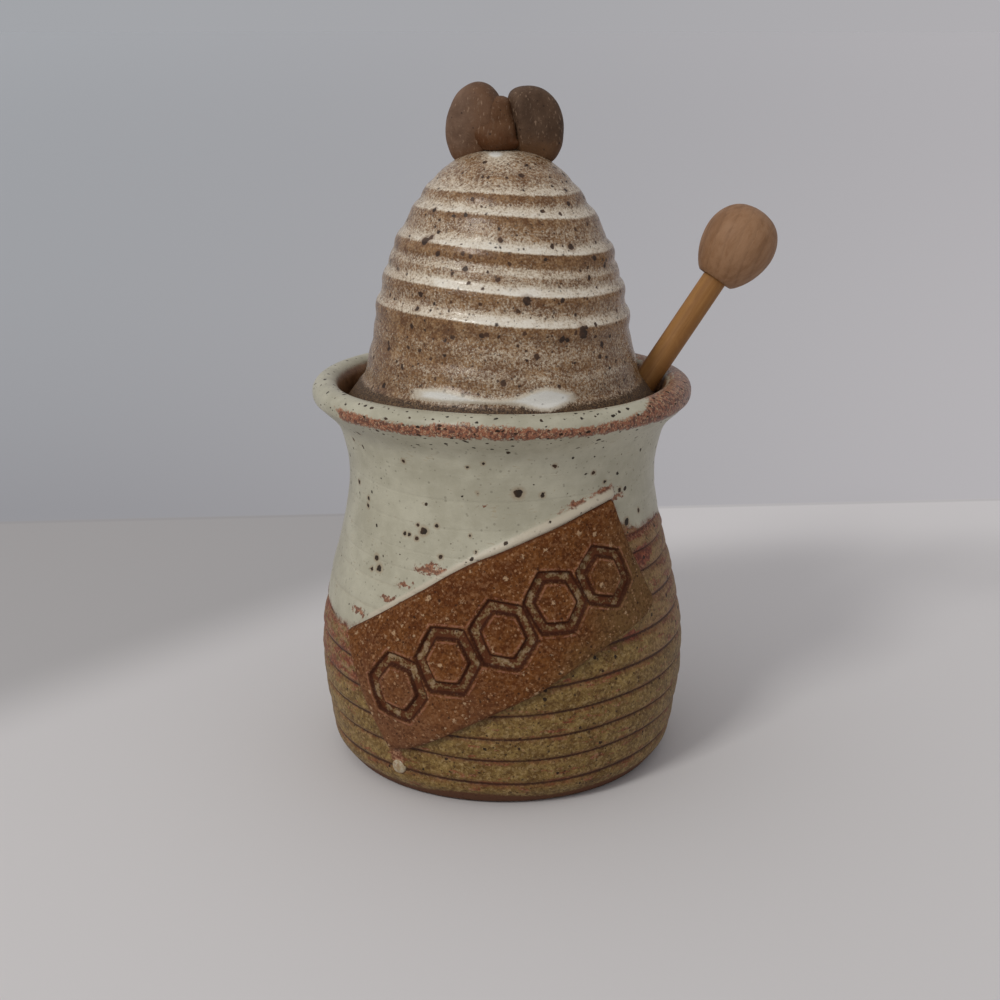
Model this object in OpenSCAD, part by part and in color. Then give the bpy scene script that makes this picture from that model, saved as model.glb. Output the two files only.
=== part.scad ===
// Stoneware honey pot: a thrown pot with a gallery inside its rim, a loose beehive lid
// with a bee knob, an applied clay label and a wooden dipper that leans in a notch of the lid.
// Millimetres, +Z up. The origin is the centre of the pot's foot, on the table.
// -Y is the front, where the label is; the dipper leans out to +X.

/* [Pot] */
// Height of the pot from the table to the top of the rim
pot_h = 100.7; // [98:0.1:104]
// Diameter of the foot ring at the table
foot_d = 82.4; // [78:0.2:88]
// Largest diameter of the belly
belly_d = 96; // [92:0.5:102]
// Smallest diameter of the neck
neck_d = 79.8; // [77:0.2:82]
// Diameter over the rolled rim
rim_d = 96.6; // [95:0.2:100]
// Thickness of the thrown wall
wall = 4.7; // [3.5:0.1:4.8]
// Thickness of the floor
floor_t = 5.6; // [4:0.1:8]

/* [Gallery] */
// Inner diameter of the gallery wall, above the ledge
gallery_d = 83; // [82.6:0.1:84]
// Height of the ledge that the lid sits on
ledge_z = 91.5; // [91:0.1:92]
// Inner diameter of the ledge
ledge_d = 74; // [73.5:0.1:74.5]

/* [Lid] */
// Top of the dome, without the knob
dome_top = 157.2; // [155:0.1:160]
// Diameter of the brim that rests on the ledge
brim_d = 81.4; // [80:0.1:81.8]
// Thickness of the brim at its edge
brim_t = 2.6; // [2:0.1:3.4]
// Diameter of the dome just above the brim
dome_d = 69; // [67:0.2:70]
// Wall thickness of the lid
lid_wall = 4.4; // [3.5:0.1:5]
// Outer diameter of the collar that keeps the lid centred
collar_d = 70.4; // [69:0.1:70.8]
// Depth of the collar below the ledge
collar_h = 6.5; // [4:0.5:7]
// Height of the throwing ridges
ridge_h = 0.8; // [0.2:0.1:1.2]
// Gap that the lid keeps from the ledge
seat_gap = 0.1; // [0.05:0.05:0.3]
// Width of the notch for the dipper
notch_w = 8.6; // [8:0.2:12]

/* [Knob] */
// Diameter of the bee's body at its foot
bee_d = 10.4; // [9:0.2:11]
// Height of the top of the bee's body above the dome
bee_h = 12.8; // [11:0.2:13.6]
// Height of a wing
wing_h = 19.4; // [17:0.2:20]
// Width of a wing
wing_w = 13.6; // [12:0.2:14.4]
// Thickness of a wing
wing_t = 9; // [7:0.2:10]

/* [Label] */
// Thickness of the clay label
label_t = 2; // [1.5:0.1:2.6]
// Number of stamped honeycomb cells
cells = 5; // [3:1:5]
// Height of a cell, across its flats
cell_h = 14; // [10:0.5:15]
// Width of the stamped line round a cell
cell_line = 2.4; // [1.6:0.1:3]
// Depth of the stamping
cell_depth = 0.8; // [0.3:0.1:1]

/* [Dipper] */
// Diameter of the dowel
dowel_d = 6.35; // [6:0.05:6.5]
// Diameter of the ball at the top
ball_d = 18.7; // [17.5:0.1:20]
// Length of the ball along the dowel
ball_l = 20.3; // [19:0.1:22]
// Diameter of the grooved head
head_d = 19; // [16:0.5:20]
// Length of the grooved head
head_l = 32; // [26:1:34]
// Number of grooves round the head
grooves = 6; // [4:1:7]

/* [Hidden] */
$fn = 96;
// Where the dowel's axis passes the height lean_z, and its slopes to the right and to the back
lean_z = 96;
lean_x = 35.6;
lean_y = 1.6;
slope_x = 0.665;
slope_y = 0.12;
lean_tilt = atan(sqrt(slope_x * slope_x + slope_y * slope_y));
lean_az = atan2(slope_y, slope_x);
per_mm = sqrt(1 + slope_x * slope_x + slope_y * slope_y);
// Places along the dowel's axis, measured from that point
ball_t = 44.3;
head_end_t = -104.4;
head_top_t = head_end_t + head_l;
socket = 10;

pr = [belly_d / 2, neck_d / 2];
function mix(f) = pr[0] + (pr[1] - pr[0]) * f;
// Stations of the pot's outer wall: height, radius
wall_tab = [
    [0, foot_d / 2], [1.5, foot_d / 2 + 1.4], [4, foot_d / 2 + 3.2], [8, foot_d / 2 + 4.5],
    [16, belly_d / 2 - 1], [27, belly_d / 2], [38, mix(0.107)], [50, mix(0.395)],
    [62, mix(0.765)], [74, neck_d / 2], [80, mix(0.99)], [86, mix(0.85)], [90, mix(0.66)],
    [92, rim_d / 2 - 4.1]
];
// Stations of the lid's dome: height below its top, radius as a share of the dome's radius
dome_r = dome_d / 2;
dome_tab = [
    [0.6, 0.19], [2.2, 0.32], [4.2, 0.41], [8.2, 0.52], [11.2, 0.575], [14.2, 0.635], [17.2, 0.695],
    [20.2, 0.74], [24.2, 0.795], [28.2, 0.842], [33.2, 0.885], [38.2, 0.918],
    [44.2, 0.935], [50.2, 0.975], [56.2, 1.02]
];
// Heights of the ridges on the dome
ridges = [107.5, 113, 119, 126, 131, 135.5, 140, 144.5, 149];

// Smooth curve through a table of [position, value] pairs
function seg(tab, s, i = 0) = (i >= len(tab) - 2 || s < tab[i + 1][0]) ? i : seg(tab, s, i + 1);
function slope(tab, i) =
    i == 0 ? (tab[1][1] - tab[0][1]) / (tab[1][0] - tab[0][0]) :
    i == len(tab) - 1 ? (tab[i][1] - tab[i - 1][1]) / (tab[i][0] - tab[i - 1][0]) :
    (tab[i + 1][1] - tab[i - 1][1]) / (tab[i + 1][0] - tab[i - 1][0]);
function curve(tab, s) =
    let (i = seg(tab, s), w = tab[i + 1][0] - tab[i][0], u = (s - tab[i][0]) / w)
    (2 * u * u * u - 3 * u * u + 1) * tab[i][1]
    + (u * u * u - 2 * u * u + u) * w * slope(tab, i)
    + (3 * u * u - 2 * u * u * u) * tab[i + 1][1]
    + (u * u * u - u * u) * w * slope(tab, i + 1);

function wall_r(z) = curve(wall_tab, z);
function arc(cx, cz, r, a0, a1, n) = [for (i = [0:n]) let (a = a0 + (a1 - a0) * i / n) [cx + r * cos(a), cz + r * sin(a)]];
function ridge(z) = ridge_h * max([for (k = ridges) max(0, 1 - pow(abs(z - k) / 2.4, 1.6))]);
function dome_outer(z) = dome_r * curve(dome_tab, dome_top - z) + ridge(z) - 0.3;
function dome_inner(z) = dome_r * curve(dome_tab, dome_top - z) - lid_wall;

// ---------- pot ----------
module pot_profile() {
    lip = 3.3;
    lip_in = 3;
    inner_r = wall_r(floor_t + 10) - wall;
    polygon(concat(
        [[0, 0], [foot_d / 2, 0]],
        [for (z = [1.5, 3, 5, 7]) [wall_r(z), z]],
        [for (z = [10:3:88]) [wall_r(z), z]],
        [[wall_r(90), 90], [wall_r(92), 92]],
        arc(rim_d / 2 - lip, pot_h - lip, lip, -50, 90, 9),
        arc(gallery_d / 2 + lip_in, pot_h - lip_in, lip_in, 90, 180, 6),
        [[gallery_d / 2, ledge_z + 0.8], [gallery_d / 2 - 0.8, ledge_z]],
        [[ledge_d / 2 + 0.5, ledge_z], [ledge_d / 2, ledge_z - 0.5]],
        [for (z = [88:-4:floor_t + 12]) [min(ledge_d / 2, wall_r(z) - wall), z]],
        arc(inner_r - 9, floor_t + 9, 9, 0, -90, 5),
        [[0, floor_t]]
    ));
}
module pot_body() color([0.72, 0.70, 0.60]) rotate_extrude() pot_profile();

// ---------- label ----------
// Outline of the label as seen from the front: it lies on the slant across the belly
label_outline = [
    [-37, 41.8], [-30, 48], [-22, 54.4], [-14.5, 59.2], [-7, 63.5], [0, 66.7], [7, 69.5], [14, 72],
    [20, 74], [28, 75.5], [30.2, 69], [32.6, 62], [35.4, 54], [38, 45], [30, 43.8],
    [23.4, 41], [16, 36.8], [8, 32], [0, 28], [-8, 24], [-15, 20], [-23, 15.8], [-28.8, 14.5],
    [-32.6, 18], [-35.4, 25], [-37.4, 35]
];
// Centres of the stamped cells: angle round the pot from the front, height
cell_at = [[-32, 32.5], [-15.5, 40], [2, 47], [19, 53.5], [35, 59]];
// The pot's outside between two heights, made thicker by t
module core(t, z0, z1) rotate_extrude() polygon(concat(
    [[0, z0]], [for (z = [z0:3:z1]) [wall_r(z) + t, z]], [[0, z1]]
));
module cell_prism(a, z) rotate([0, 0, a]) translate([0, -wall_r(z) + 5, z])
    rotate([90, 0, 0]) rotate([0, 0, 52]) difference() {
        cylinder(d = cell_h / cos(30), h = 14, $fn = 6);
        translate([0, 0, -1]) cylinder(d = (cell_h - 2 * cell_line) / cos(30), h = 16, $fn = 6);
    }
module label_plaque() color([0.46, 0.33, 0.24]) difference() {
    intersection() {
        core(label_t, 10, 79);
        rotate([90, 0, 0]) linear_extrude(height = 60) polygon(label_outline);
    }
    // the wall under it
    core(0, 7, 82);
    // the stamped rings, all to one depth under the curved face
    for (k = [0:cells - 1]) difference() {
        cell_prism(cell_at[k][0], cell_at[k][1]);
        core(label_t - cell_depth, 10, 79);
    }
}

// ---------- lid ----------
module lid_outer_profile() polygon(concat(
    [[0, ledge_z + seat_gap], [brim_d / 2, ledge_z + seat_gap], [brim_d / 2, ledge_z + brim_t],
     [brim_d / 2 - 1.9, ledge_z + 4.6], [brim_d / 2 - 4.1, ledge_z + 7.3]],
    [for (z = [101:1:156]) [dome_outer(z), z]],
    [[dome_outer(156.6), 156.6], [4, dome_top - 0.1], [0, dome_top]]
));
module dome_solid() rotate_extrude() lid_outer_profile();
module lid_hollow() rotate_extrude() polygon(concat(
    [[0, ledge_z - collar_h - 1], [collar_d / 2 - 3.8, ledge_z - collar_h - 1],
     [collar_d / 2 - 3.8, ledge_z + 4]],
    [for (z = [101:4:149]) [dome_inner(z), z]],
    [[6, dome_top - lid_wall - 0.6], [0, dome_top - lid_wall]]
));
module notch() translate([lean_x, lean_y, lean_z]) rotate([0, lean_tilt, lean_az]) {
    translate([0, 0, -30]) cylinder(d = notch_w, h = 60);
    translate([0, -notch_w / 2, -30]) cube([16, notch_w, 60]);
}
module lid_shell() color([0.62, 0.50, 0.38]) difference() {
    union() {
        dome_solid();
        translate([0, 0, ledge_z - collar_h]) cylinder(d = collar_d, h = collar_h + 2);
    }
    lid_hollow();
    notch();
}

// ---------- knob: a bee with two raised wings ----------
bee_at = [-1.6, -2.2];
// Height of a station as a share of the body's height, radius as a share of its foot's
bee_tab = [[0, 0.9], [0.2, 0.97], [0.38, 1], [0.55, 0.97], [0.72, 0.9], [0.86, 0.75], [0.95, 0.5]];
module bee_solid() translate([bee_at[0], bee_at[1], 0]) rotate_extrude() polygon(concat(
    [[0, dome_top - 3]],
    [for (p = bee_tab) [p[1] * bee_d / 2, dome_top - 3 + p[0] * (bee_h + 3)]],
    [[0, dome_top + bee_h]]
));
module knob_body() color([0.47, 0.36, 0.28]) difference() {
    bee_solid();
    dome_solid();
}
module wing(x, z, lean, h) difference() {
    translate([x, 1, z]) rotate([0, lean, 0]) scale([wing_w / 2, wing_t / 2, h / 2]) sphere(r = 1, $fn = 36);
    dome_solid();
    bee_solid();
}
module knob_wing_left() color([0.42, 0.36, 0.32]) wing(-7.3, 163.3, 9, wing_h);
module knob_wing_right() color([0.42, 0.36, 0.32]) wing(8.3, 162.9, -8, wing_h - 0.6);

// ---------- dipper ----------
module on_dowel() translate([lean_x, lean_y, lean_z]) rotate([0, lean_tilt, lean_az]) children();
module dowel(d, t0, t1) translate([0, 0, t0]) cylinder(d = d, h = t1 - t0);
dowel_t0 = head_top_t - 14;
dowel_t1 = ball_t - ball_l / 2 + socket;
module dipper_shaft() color([0.75, 0.58, 0.38]) on_dowel() dowel(dowel_d, dowel_t0, dowel_t1);

// Stations of the turned ball, from its upper end: share of its length, share of its radius
ball_tab = [
    [0, 0.22], [0.015, 0.34], [0.035, 0.46], [0.06, 0.56], [0.09, 0.655], [0.135, 0.755], [0.21, 0.865],
    [0.285, 0.935], [0.36, 0.975], [0.44, 1], [0.52, 0.995], [0.59, 0.975], [0.67, 0.935], [0.745, 0.88],
    [0.82, 0.805], [0.895, 0.71], [0.95, 0.62], [0.98, 0.56], [1, 0.5]
];
module dipper_ball() color([0.72, 0.56, 0.40]) on_dowel() difference() {
    translate([0, 0, ball_t]) rotate_extrude() polygon(concat(
        [[0, ball_l / 2]],
        [for (p = ball_tab) [ball_d / 2 * p[1], ball_l / 2 - ball_l * p[0]]],
        [[0, -ball_l / 2]]
    ));
    dowel(dowel_d, ball_t - ball_l / 2 - 1, dowel_t1);
}

pitch = (head_l - 5) / grooves;
function head_r(t) = head_d / 2 * (1 - 0.16 * pow((t - head_l / 2) / (head_l / 2), 2));
module dipper_head() color([0.70, 0.53, 0.35]) on_dowel() translate([0, 0, head_end_t]) difference() {
    rotate_extrude() polygon(concat(
        [[0, 0], [head_r(0) - 1.6, 0], [head_r(1), 1.2]],
        [for (k = [0:grooves - 1]) let (t = 3.4 + k * pitch)
            each [[head_r(t), t], [head_r(t) - 3.2, t + 0.5], [head_r(t) - 3.2, t + pitch / 2 - 0.1], [head_r(t + pitch / 2), t + pitch / 2 + 0.4]]],
        [[head_r(head_l - 1), head_l - 1.2], [head_r(head_l) - 2.4, head_l], [0, head_l]]
    ));
    dowel(dowel_d, head_l - 14, head_l + 1);
}

pot_body();
label_plaque();
lid_shell();
knob_body();
knob_wing_left();
knob_wing_right();
dipper_shaft();
dipper_ball();
dipper_head();
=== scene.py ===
import math

import bpy
import numpy as np
from mathutils import Matrix, Vector


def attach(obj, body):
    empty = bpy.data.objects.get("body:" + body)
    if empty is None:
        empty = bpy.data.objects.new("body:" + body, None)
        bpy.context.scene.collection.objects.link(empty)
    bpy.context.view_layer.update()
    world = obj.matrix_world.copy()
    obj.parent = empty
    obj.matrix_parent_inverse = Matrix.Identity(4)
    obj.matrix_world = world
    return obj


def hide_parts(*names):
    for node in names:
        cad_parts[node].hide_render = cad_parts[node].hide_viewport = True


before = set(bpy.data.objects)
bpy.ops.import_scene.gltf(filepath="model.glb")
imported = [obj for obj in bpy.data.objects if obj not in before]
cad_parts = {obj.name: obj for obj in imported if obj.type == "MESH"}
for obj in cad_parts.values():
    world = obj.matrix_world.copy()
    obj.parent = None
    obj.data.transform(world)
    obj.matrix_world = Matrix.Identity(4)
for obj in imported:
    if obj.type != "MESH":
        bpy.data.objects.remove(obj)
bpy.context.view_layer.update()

MM = 0.001
PI = math.pi


# ------------------------------------------------------------------ numbers
def smooth(x, a, b):
    t = np.clip((np.asarray(x, float) - a) / (b - a), 0, 1)
    return t * t * (3 - 2 * t)


def curve(tab, s):
    """Smooth curve through a table of (position, value) pairs."""
    x = np.array([p[0] for p in tab], float)
    y = np.array([p[1] for p in tab], float)
    m = np.empty_like(y)
    m[1:-1] = (y[2:] - y[:-2]) / (x[2:] - x[:-2])
    m[0] = (y[1] - y[0]) / (x[1] - x[0])
    m[-1] = (y[-1] - y[-2]) / (x[-1] - x[-2])
    s = np.clip(np.asarray(s, float), x[0], x[-1])
    i = np.clip(np.searchsorted(x, s, side="right") - 1, 0, len(x) - 2)
    w = x[i + 1] - x[i]
    u = (s - x[i]) / w
    return (
        (2 * u**3 - 3 * u * u + 1) * y[i]
        + (u**3 - 2 * u * u + u) * w * m[i]
        + (3 * u * u - 2 * u**3) * y[i + 1]
        + (u**3 - u * u) * w * m[i + 1]
    )


class Waves:
    """Smooth noise over the turn (degrees) and the height (mm): a seeded sum of waves, the same at 0 and 360 degrees."""

    def __init__(self, seed, n=26, kmax=9, wz=0.09):
        r = np.random.RandomState(seed)
        self.k = r.randint(0, kmax + 1, n)
        self.z = r.uniform(-wz, wz, n)
        self.p = r.uniform(0, 2 * PI, n)
        self.a = 1 / (1 + 0.25 * self.k + 6 * np.abs(self.z) / wz * 0.3)
        self.a /= math.sqrt((self.a**2).sum() / 2)

    def __call__(self, phi, z):
        out = 0
        for k, wz, p, a in zip(self.k, self.z, self.p, self.a):
            out = out + a * np.sin(np.radians(phi) * k + 2 * PI * wz * z + p)
        return out


# ------------------------------------------------------------------ meshes
def make_mesh(name, verts, faces, attrs=None, body=None, replaces=(), material=None):
    me = bpy.data.meshes.new(name)
    verts = np.asarray(verts, float) * MM
    me.from_pydata(verts.tolist(), [], faces)
    me.validate()
    me.polygons.foreach_set("use_smooth", [True] * len(me.polygons))
    for key, val in (attrs or {}).items():
        a = me.attributes.new(key, "FLOAT", "POINT")
        a.data.foreach_set("value", np.asarray(val, np.float32).ravel())
    me.update()
    ob = bpy.data.objects.new(name, me)
    bpy.context.scene.collection.objects.link(ob)
    if material:
        me.materials.append(material)
    if body:
        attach(ob, body)
    if replaces:
        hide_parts(*replaces)
    return ob


def lathe_faces(m, n):
    """Faces of a lathe of m rings of n points, with one point at each end. The profile runs so that faces look out."""
    i = np.arange(m - 1)[:, None]
    j = np.arange(n)[None, :]
    a = 1 + i * n + j
    b = 1 + i * n + (j + 1) % n
    c = 1 + (i + 1) * n + (j + 1) % n
    d = 1 + (i + 1) * n + j
    quads = np.stack([a, b, c, d], -1).reshape(-1, 4).tolist()
    last = 1 + m * n
    start = [[0, 1 + (k + 1) % n, 1 + k] for k in range(n)]
    end = [[last, 1 + (m - 1) * n + k, 1 + (m - 1) * n + (k + 1) % n] for k in range(n)]
    return start + quads + end


def lathe_points(r, z, phi):
    """(m, n, 3) points for radii and heights (m, n) at the angles phi, counted from the front (-Y) to the right (+X)."""
    a = np.radians(phi)[None, :]
    return np.stack([r * np.sin(a), -r * np.cos(a), z], -1)


def flat(start, grid, end):
    return np.concatenate([[start], np.asarray(grid).ravel(), [end]])


# ------------------------------------------------------------------ node graphs
class Sock:
    def __init__(self, g, s):
        self.g, self.s = g, s

    def __add__(self, o): return self.g.math("ADD", self, o)
    def __radd__(self, o): return self.g.math("ADD", o, self)
    def __sub__(self, o): return self.g.math("SUBTRACT", self, o)
    def __rsub__(self, o): return self.g.math("SUBTRACT", o, self)
    def __mul__(self, o): return self.g.math("MULTIPLY", self, o)
    def __rmul__(self, o): return self.g.math("MULTIPLY", o, self)
    def __truediv__(self, o): return self.g.math("DIVIDE", self, o)


class Graph:
    def __init__(self, name):
        self.m = bpy.data.materials.new(name)
        self.m.use_nodes = True
        self.t = self.m.node_tree
        self.t.nodes.clear()
        self.out = self.t.nodes.new("ShaderNodeOutputMaterial")
        self.bsdf = self.t.nodes.new("ShaderNodeBsdfPrincipled")
        self.t.links.new(self.bsdf.outputs[0], self.out.inputs[0])
        tc = self.t.nodes.new("ShaderNodeTexCoord")
        self.p = self.vmath("SCALE", Sock(self, tc.outputs["Object"]), scale=1000.0)  # millimetres

    def put(self, inp, v):
        if isinstance(v, Sock):
            self.t.links.new(v.s, inp)
        else:
            inp.default_value = v

    def math(self, op, a, b=None, c=None, clamp=False):
        n = self.t.nodes.new("ShaderNodeMath")
        n.operation = op
        n.use_clamp = clamp
        self.put(n.inputs[0], a)
        if b is not None:
            self.put(n.inputs[1], b)
        if c is not None:
            self.put(n.inputs[2], c)
        return Sock(self, n.outputs[0])

    def vmath(self, op, a, b=None, scale=None):
        n = self.t.nodes.new("ShaderNodeVectorMath")
        n.operation = op
        self.put(n.inputs[0], a)
        if b is not None:
            self.put(n.inputs[1], b)
        if scale is not None:
            self.put(n.inputs["Scale"], scale)
        return Sock(self, n.outputs["Value"] if op in ("DISTANCE", "LENGTH", "DOT_PRODUCT") else n.outputs[0])

    def xyz(self, v):
        n = self.t.nodes.new("ShaderNodeSeparateXYZ")
        self.put(n.inputs[0], v)
        return [Sock(self, o) for o in n.outputs]

    def vec(self, x, y, z):
        n = self.t.nodes.new("ShaderNodeCombineXYZ")
        for i, v in zip(n.inputs, (x, y, z)):
            self.put(i, v)
        return Sock(self, n.outputs[0])

    def noise(self, scale, detail=2.0, rough=0.55, vec=None, dist=0.0, colour=False):
        n = self.t.nodes.new("ShaderNodeTexNoise")
        self.put(n.inputs["Vector"], vec or self.p)
        n.inputs["Scale"].default_value = scale
        n.inputs["Detail"].default_value = detail
        n.inputs["Roughness"].default_value = rough
        n.inputs["Distortion"].default_value = dist
        return Sock(self, n.outputs["Color" if colour else "Fac"])

    def voronoi(self, scale, vec=None, feature="F1", rand=1.0):
        n = self.t.nodes.new("ShaderNodeTexVoronoi")
        n.feature = feature
        self.put(n.inputs["Vector"], vec or self.p)
        n.inputs["Scale"].default_value = scale
        n.inputs["Randomness"].default_value = rand
        return Sock(self, n.outputs["Distance"]), (Sock(self, n.outputs["Color"]) if "Color" in n.outputs else None)

    def step(self, x, a, b):
        n = self.t.nodes.new("ShaderNodeMapRange")
        n.interpolation_type = "SMOOTHSTEP"
        self.put(n.inputs["Value"], x)
        n.inputs["From Min"].default_value = a
        n.inputs["From Max"].default_value = b
        n.inputs["To Min"].default_value = 0.0
        n.inputs["To Max"].default_value = 1.0
        return Sock(self, n.outputs[0])

    def mix(self, f, a, b):
        n = self.t.nodes.new("ShaderNodeMix")
        n.data_type = "RGBA"
        self.put(n.inputs[0], f)
        self.put(n.inputs[6], a if isinstance(a, Sock) else (*a, 1.0))
        self.put(n.inputs[7], b if isinstance(b, Sock) else (*b, 1.0))
        return Sock(self, n.outputs[2])

    def mixf(self, f, a, b):
        return a + (b - a) * f if isinstance(a, Sock) else (b - a) * f + a

    def darken(self, col, f):
        """col times f, a factor from 0 to 1 or more."""
        n = self.t.nodes.new("ShaderNodeVectorMath")
        n.operation = "SCALE"
        self.put(n.inputs[0], col)
        self.put(n.inputs["Scale"], f)
        return Sock(self, n.outputs[0])

    def attr(self, name):
        n = self.t.nodes.new("ShaderNodeAttribute")
        n.attribute_name = name
        return Sock(self, n.outputs["Fac"])

    def ramp(self, x, stops, interp="LINEAR"):
        n = self.t.nodes.new("ShaderNodeValToRGB")
        e = n.color_ramp.elements
        n.color_ramp.interpolation = interp
        while len(e) < len(stops):
            e.new(0.5)
        for el, (pos, val) in zip(sorted(e, key=lambda k: k.position), stops):
            el.position = pos
        for el, (pos, val) in zip(e, stops):
            el.position = pos
            el.color = (val, val, val, 1) if not isinstance(val, tuple) else (*val, 1)
        self.put(n.inputs[0], x)
        return Sock(self, n.outputs[0])

    def spots(self, places, radius_of, vec):
        """Least distance to any of the places, as a share of that place's own size: below 1 is inside a spot."""
        best = None
        for phi, z, size in places:
            r = radius_of(z)
            c = (r * math.sin(math.radians(phi)), -r * math.cos(math.radians(phi)), z)
            d = self.vmath("DISTANCE", vec, c) * (1.0 / size)
            best = d if best is None else self.math("MINIMUM", best, d)
        return best

    def bump(self, height, strength=1.0, mm=1.0):
        n = self.t.nodes.new("ShaderNodeBump")
        n.inputs["Strength"].default_value = strength
        n.inputs["Distance"].default_value = mm * MM
        self.put(n.inputs["Height"], height)
        self.put(self.bsdf.inputs["Normal"], Sock(self, n.outputs[0]))

    def finish(self, colour, rough, spec=0.5):
        self.put(self.bsdf.inputs["Base Color"], colour)
        self.put(self.bsdf.inputs["Roughness"], rough)
        self.bsdf.inputs["Specular IOR Level"].default_value = spec
        return self.m


# ------------------------------------------------------------------ pot: shape
POT_WALL = [
    (0, 41.2), (1.5, 42.5), (3, 43.7), (5, 45.0), (8, 45.8), (11, 46.2), (15, 46.9), (20, 47.6), (25, 48.0),
    (30, 48.0), (36, 47.5), (42, 46.4), (50, 44.8), (58, 42.7), (66, 41.0), (74, 39.95), (80, 40.05), (85, 40.95),
    (89, 42.15), (92, 44.1),
]
RINGS = [-2, 6.8, 13.5, 19.7, 26.2, 32.9, 40.2, 47.6, 54.6, 59.6, 64.2, 71, 78, 85]
LABEL_TOP = [(-55, 41.4), (-42, 47.9), (-33.5, 52.4), (-26, 56.2), (-18, 60.2), (-10, 63.5), (0, 66.5), (10, 69.4), (20, 72), (30, 74.6), (41.3, 76.8)]
LABEL_BOTTOM = [(-36, 12.9), (-28, 15.1), (-20, 18.5), (-11, 23), (0, 28), (10, 32), (20, 36.6), (31, 40.8), (43.5, 44), (51, 45.8), (56.3, 48.2)]


def wall_r(z):
    return curve(POT_WALL, z)


def ring_shift(phi):
    return 2.0 * np.sin(np.radians(phi)) ** 2


def ring_q(phi, z):
    return np.interp(z - ring_shift(phi), RINGS, np.arange(len(RINGS)))


# Upper edge of the thin lower glaze: the pale glaze is above it
GLAZE_LINE = [
    (-180, 52), (-150, 56), (-120, 50), (-95, 45), (-72, 41.5), (-60, 41), (-54, 41.6), (-42, 46.6), (-33.5, 51.0), (-26, 54.9),
    (-18, 58.9), (-10, 62.2), (0, 65.2), (10, 68.1), (20, 70.7), (30, 73.2), (41.3, 75.2), (45, 70.5), (49, 67.5), (58, 66.4),
    (72, 66.6), (90, 63), (115, 57), (150, 55), (180, 52),
]
POT_W1, POT_W2, POT_W3 = Waves(11, 22, 4, 0.02), Waves(12, 30, 14, 0.14), Waves(5, 16, 5, 0.01)


def label_gap(phi, z):
    """Distance above the label's upper edge, in mm; large beyond its ends."""
    top = curve(LABEL_TOP, np.clip(phi, -54, 41.3))
    out = np.maximum(np.maximum(-54 - phi, phi - 41.3), 0) * 0.8
    return (z - top) * 0.9, out


def roll_width(phi):
    """Width in mm of the roll of pale glaze against the label's upper edge: thin on the left, broad on the right."""
    return 0.95 + 0.95 * smooth(phi, -20, 14)


def pot_dr(phi, z):
    """How far the thrown wall stands off its smooth curve, in mm."""
    q = ring_q(phi, z + 0.35 * POT_W3(phi, z))
    f = np.abs((q + 0.5) % 1 - 0.5) * 6.6
    k = np.floor(q + 0.5)
    side = (q - k) * 6.6
    pale = smooth(z - curve(GLAZE_LINE, phi), -1.0, 1.0)
    beyond = smooth(phi, 38, 47) * (1 - smooth(phi, 140, 165))
    fade = smooth(z, 4, 9) * (1 - (0.80 - 0.75 * beyond) * smooth(z, 54, 64)) * (1 - smooth(z, 72 + 6 * (1 - beyond), 88)) * (1 - 0.78 * pale)
    # a cut line with a raised lip over it, and a soft swell between the lines
    groove = -0.46 * np.exp(-((f / 0.55) ** 2)) + 0.26 * np.exp(-(((side - 1.15) / 0.75) ** 2))
    swell = 0.14 * np.cos(2 * PI * side / 6.6)
    out = (groove - swell) * fade * (1 + 0.35 * beyond * smooth(z, 46, 54)) + 0.16 * POT_W1(phi, z) + 0.05 * POT_W2(phi, z) * fade
    # the pale glaze lies thicker, in a roll against the label's upper edge
    d, past = label_gap(phi, z)
    wide = roll_width(phi)
    amp = 0.45 + 0.75 * smooth(phi, -22, 14)
    out = out + amp * np.exp(-(((d - 0.35 * wide) / (0.62 * wide)) ** 2)) * smooth(phi, -50, -36) * (1 - smooth(past, 0, 1.2)) * smooth(d, -1.6, -0.4)
    return out


def label_edge(tab, s):
    """Points (phi, z) along an edge of the label at shares s of its length."""
    a = np.array(tab, float)
    step = np.hypot(np.diff(a[:, 0]) * 0.8, np.diff(a[:, 1]))
    t = np.concatenate([[0], np.cumsum(step)]) / step.sum()
    return curve(list(zip(t, a[:, 0])), s), curve(list(zip(t, a[:, 1])), s)


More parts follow.
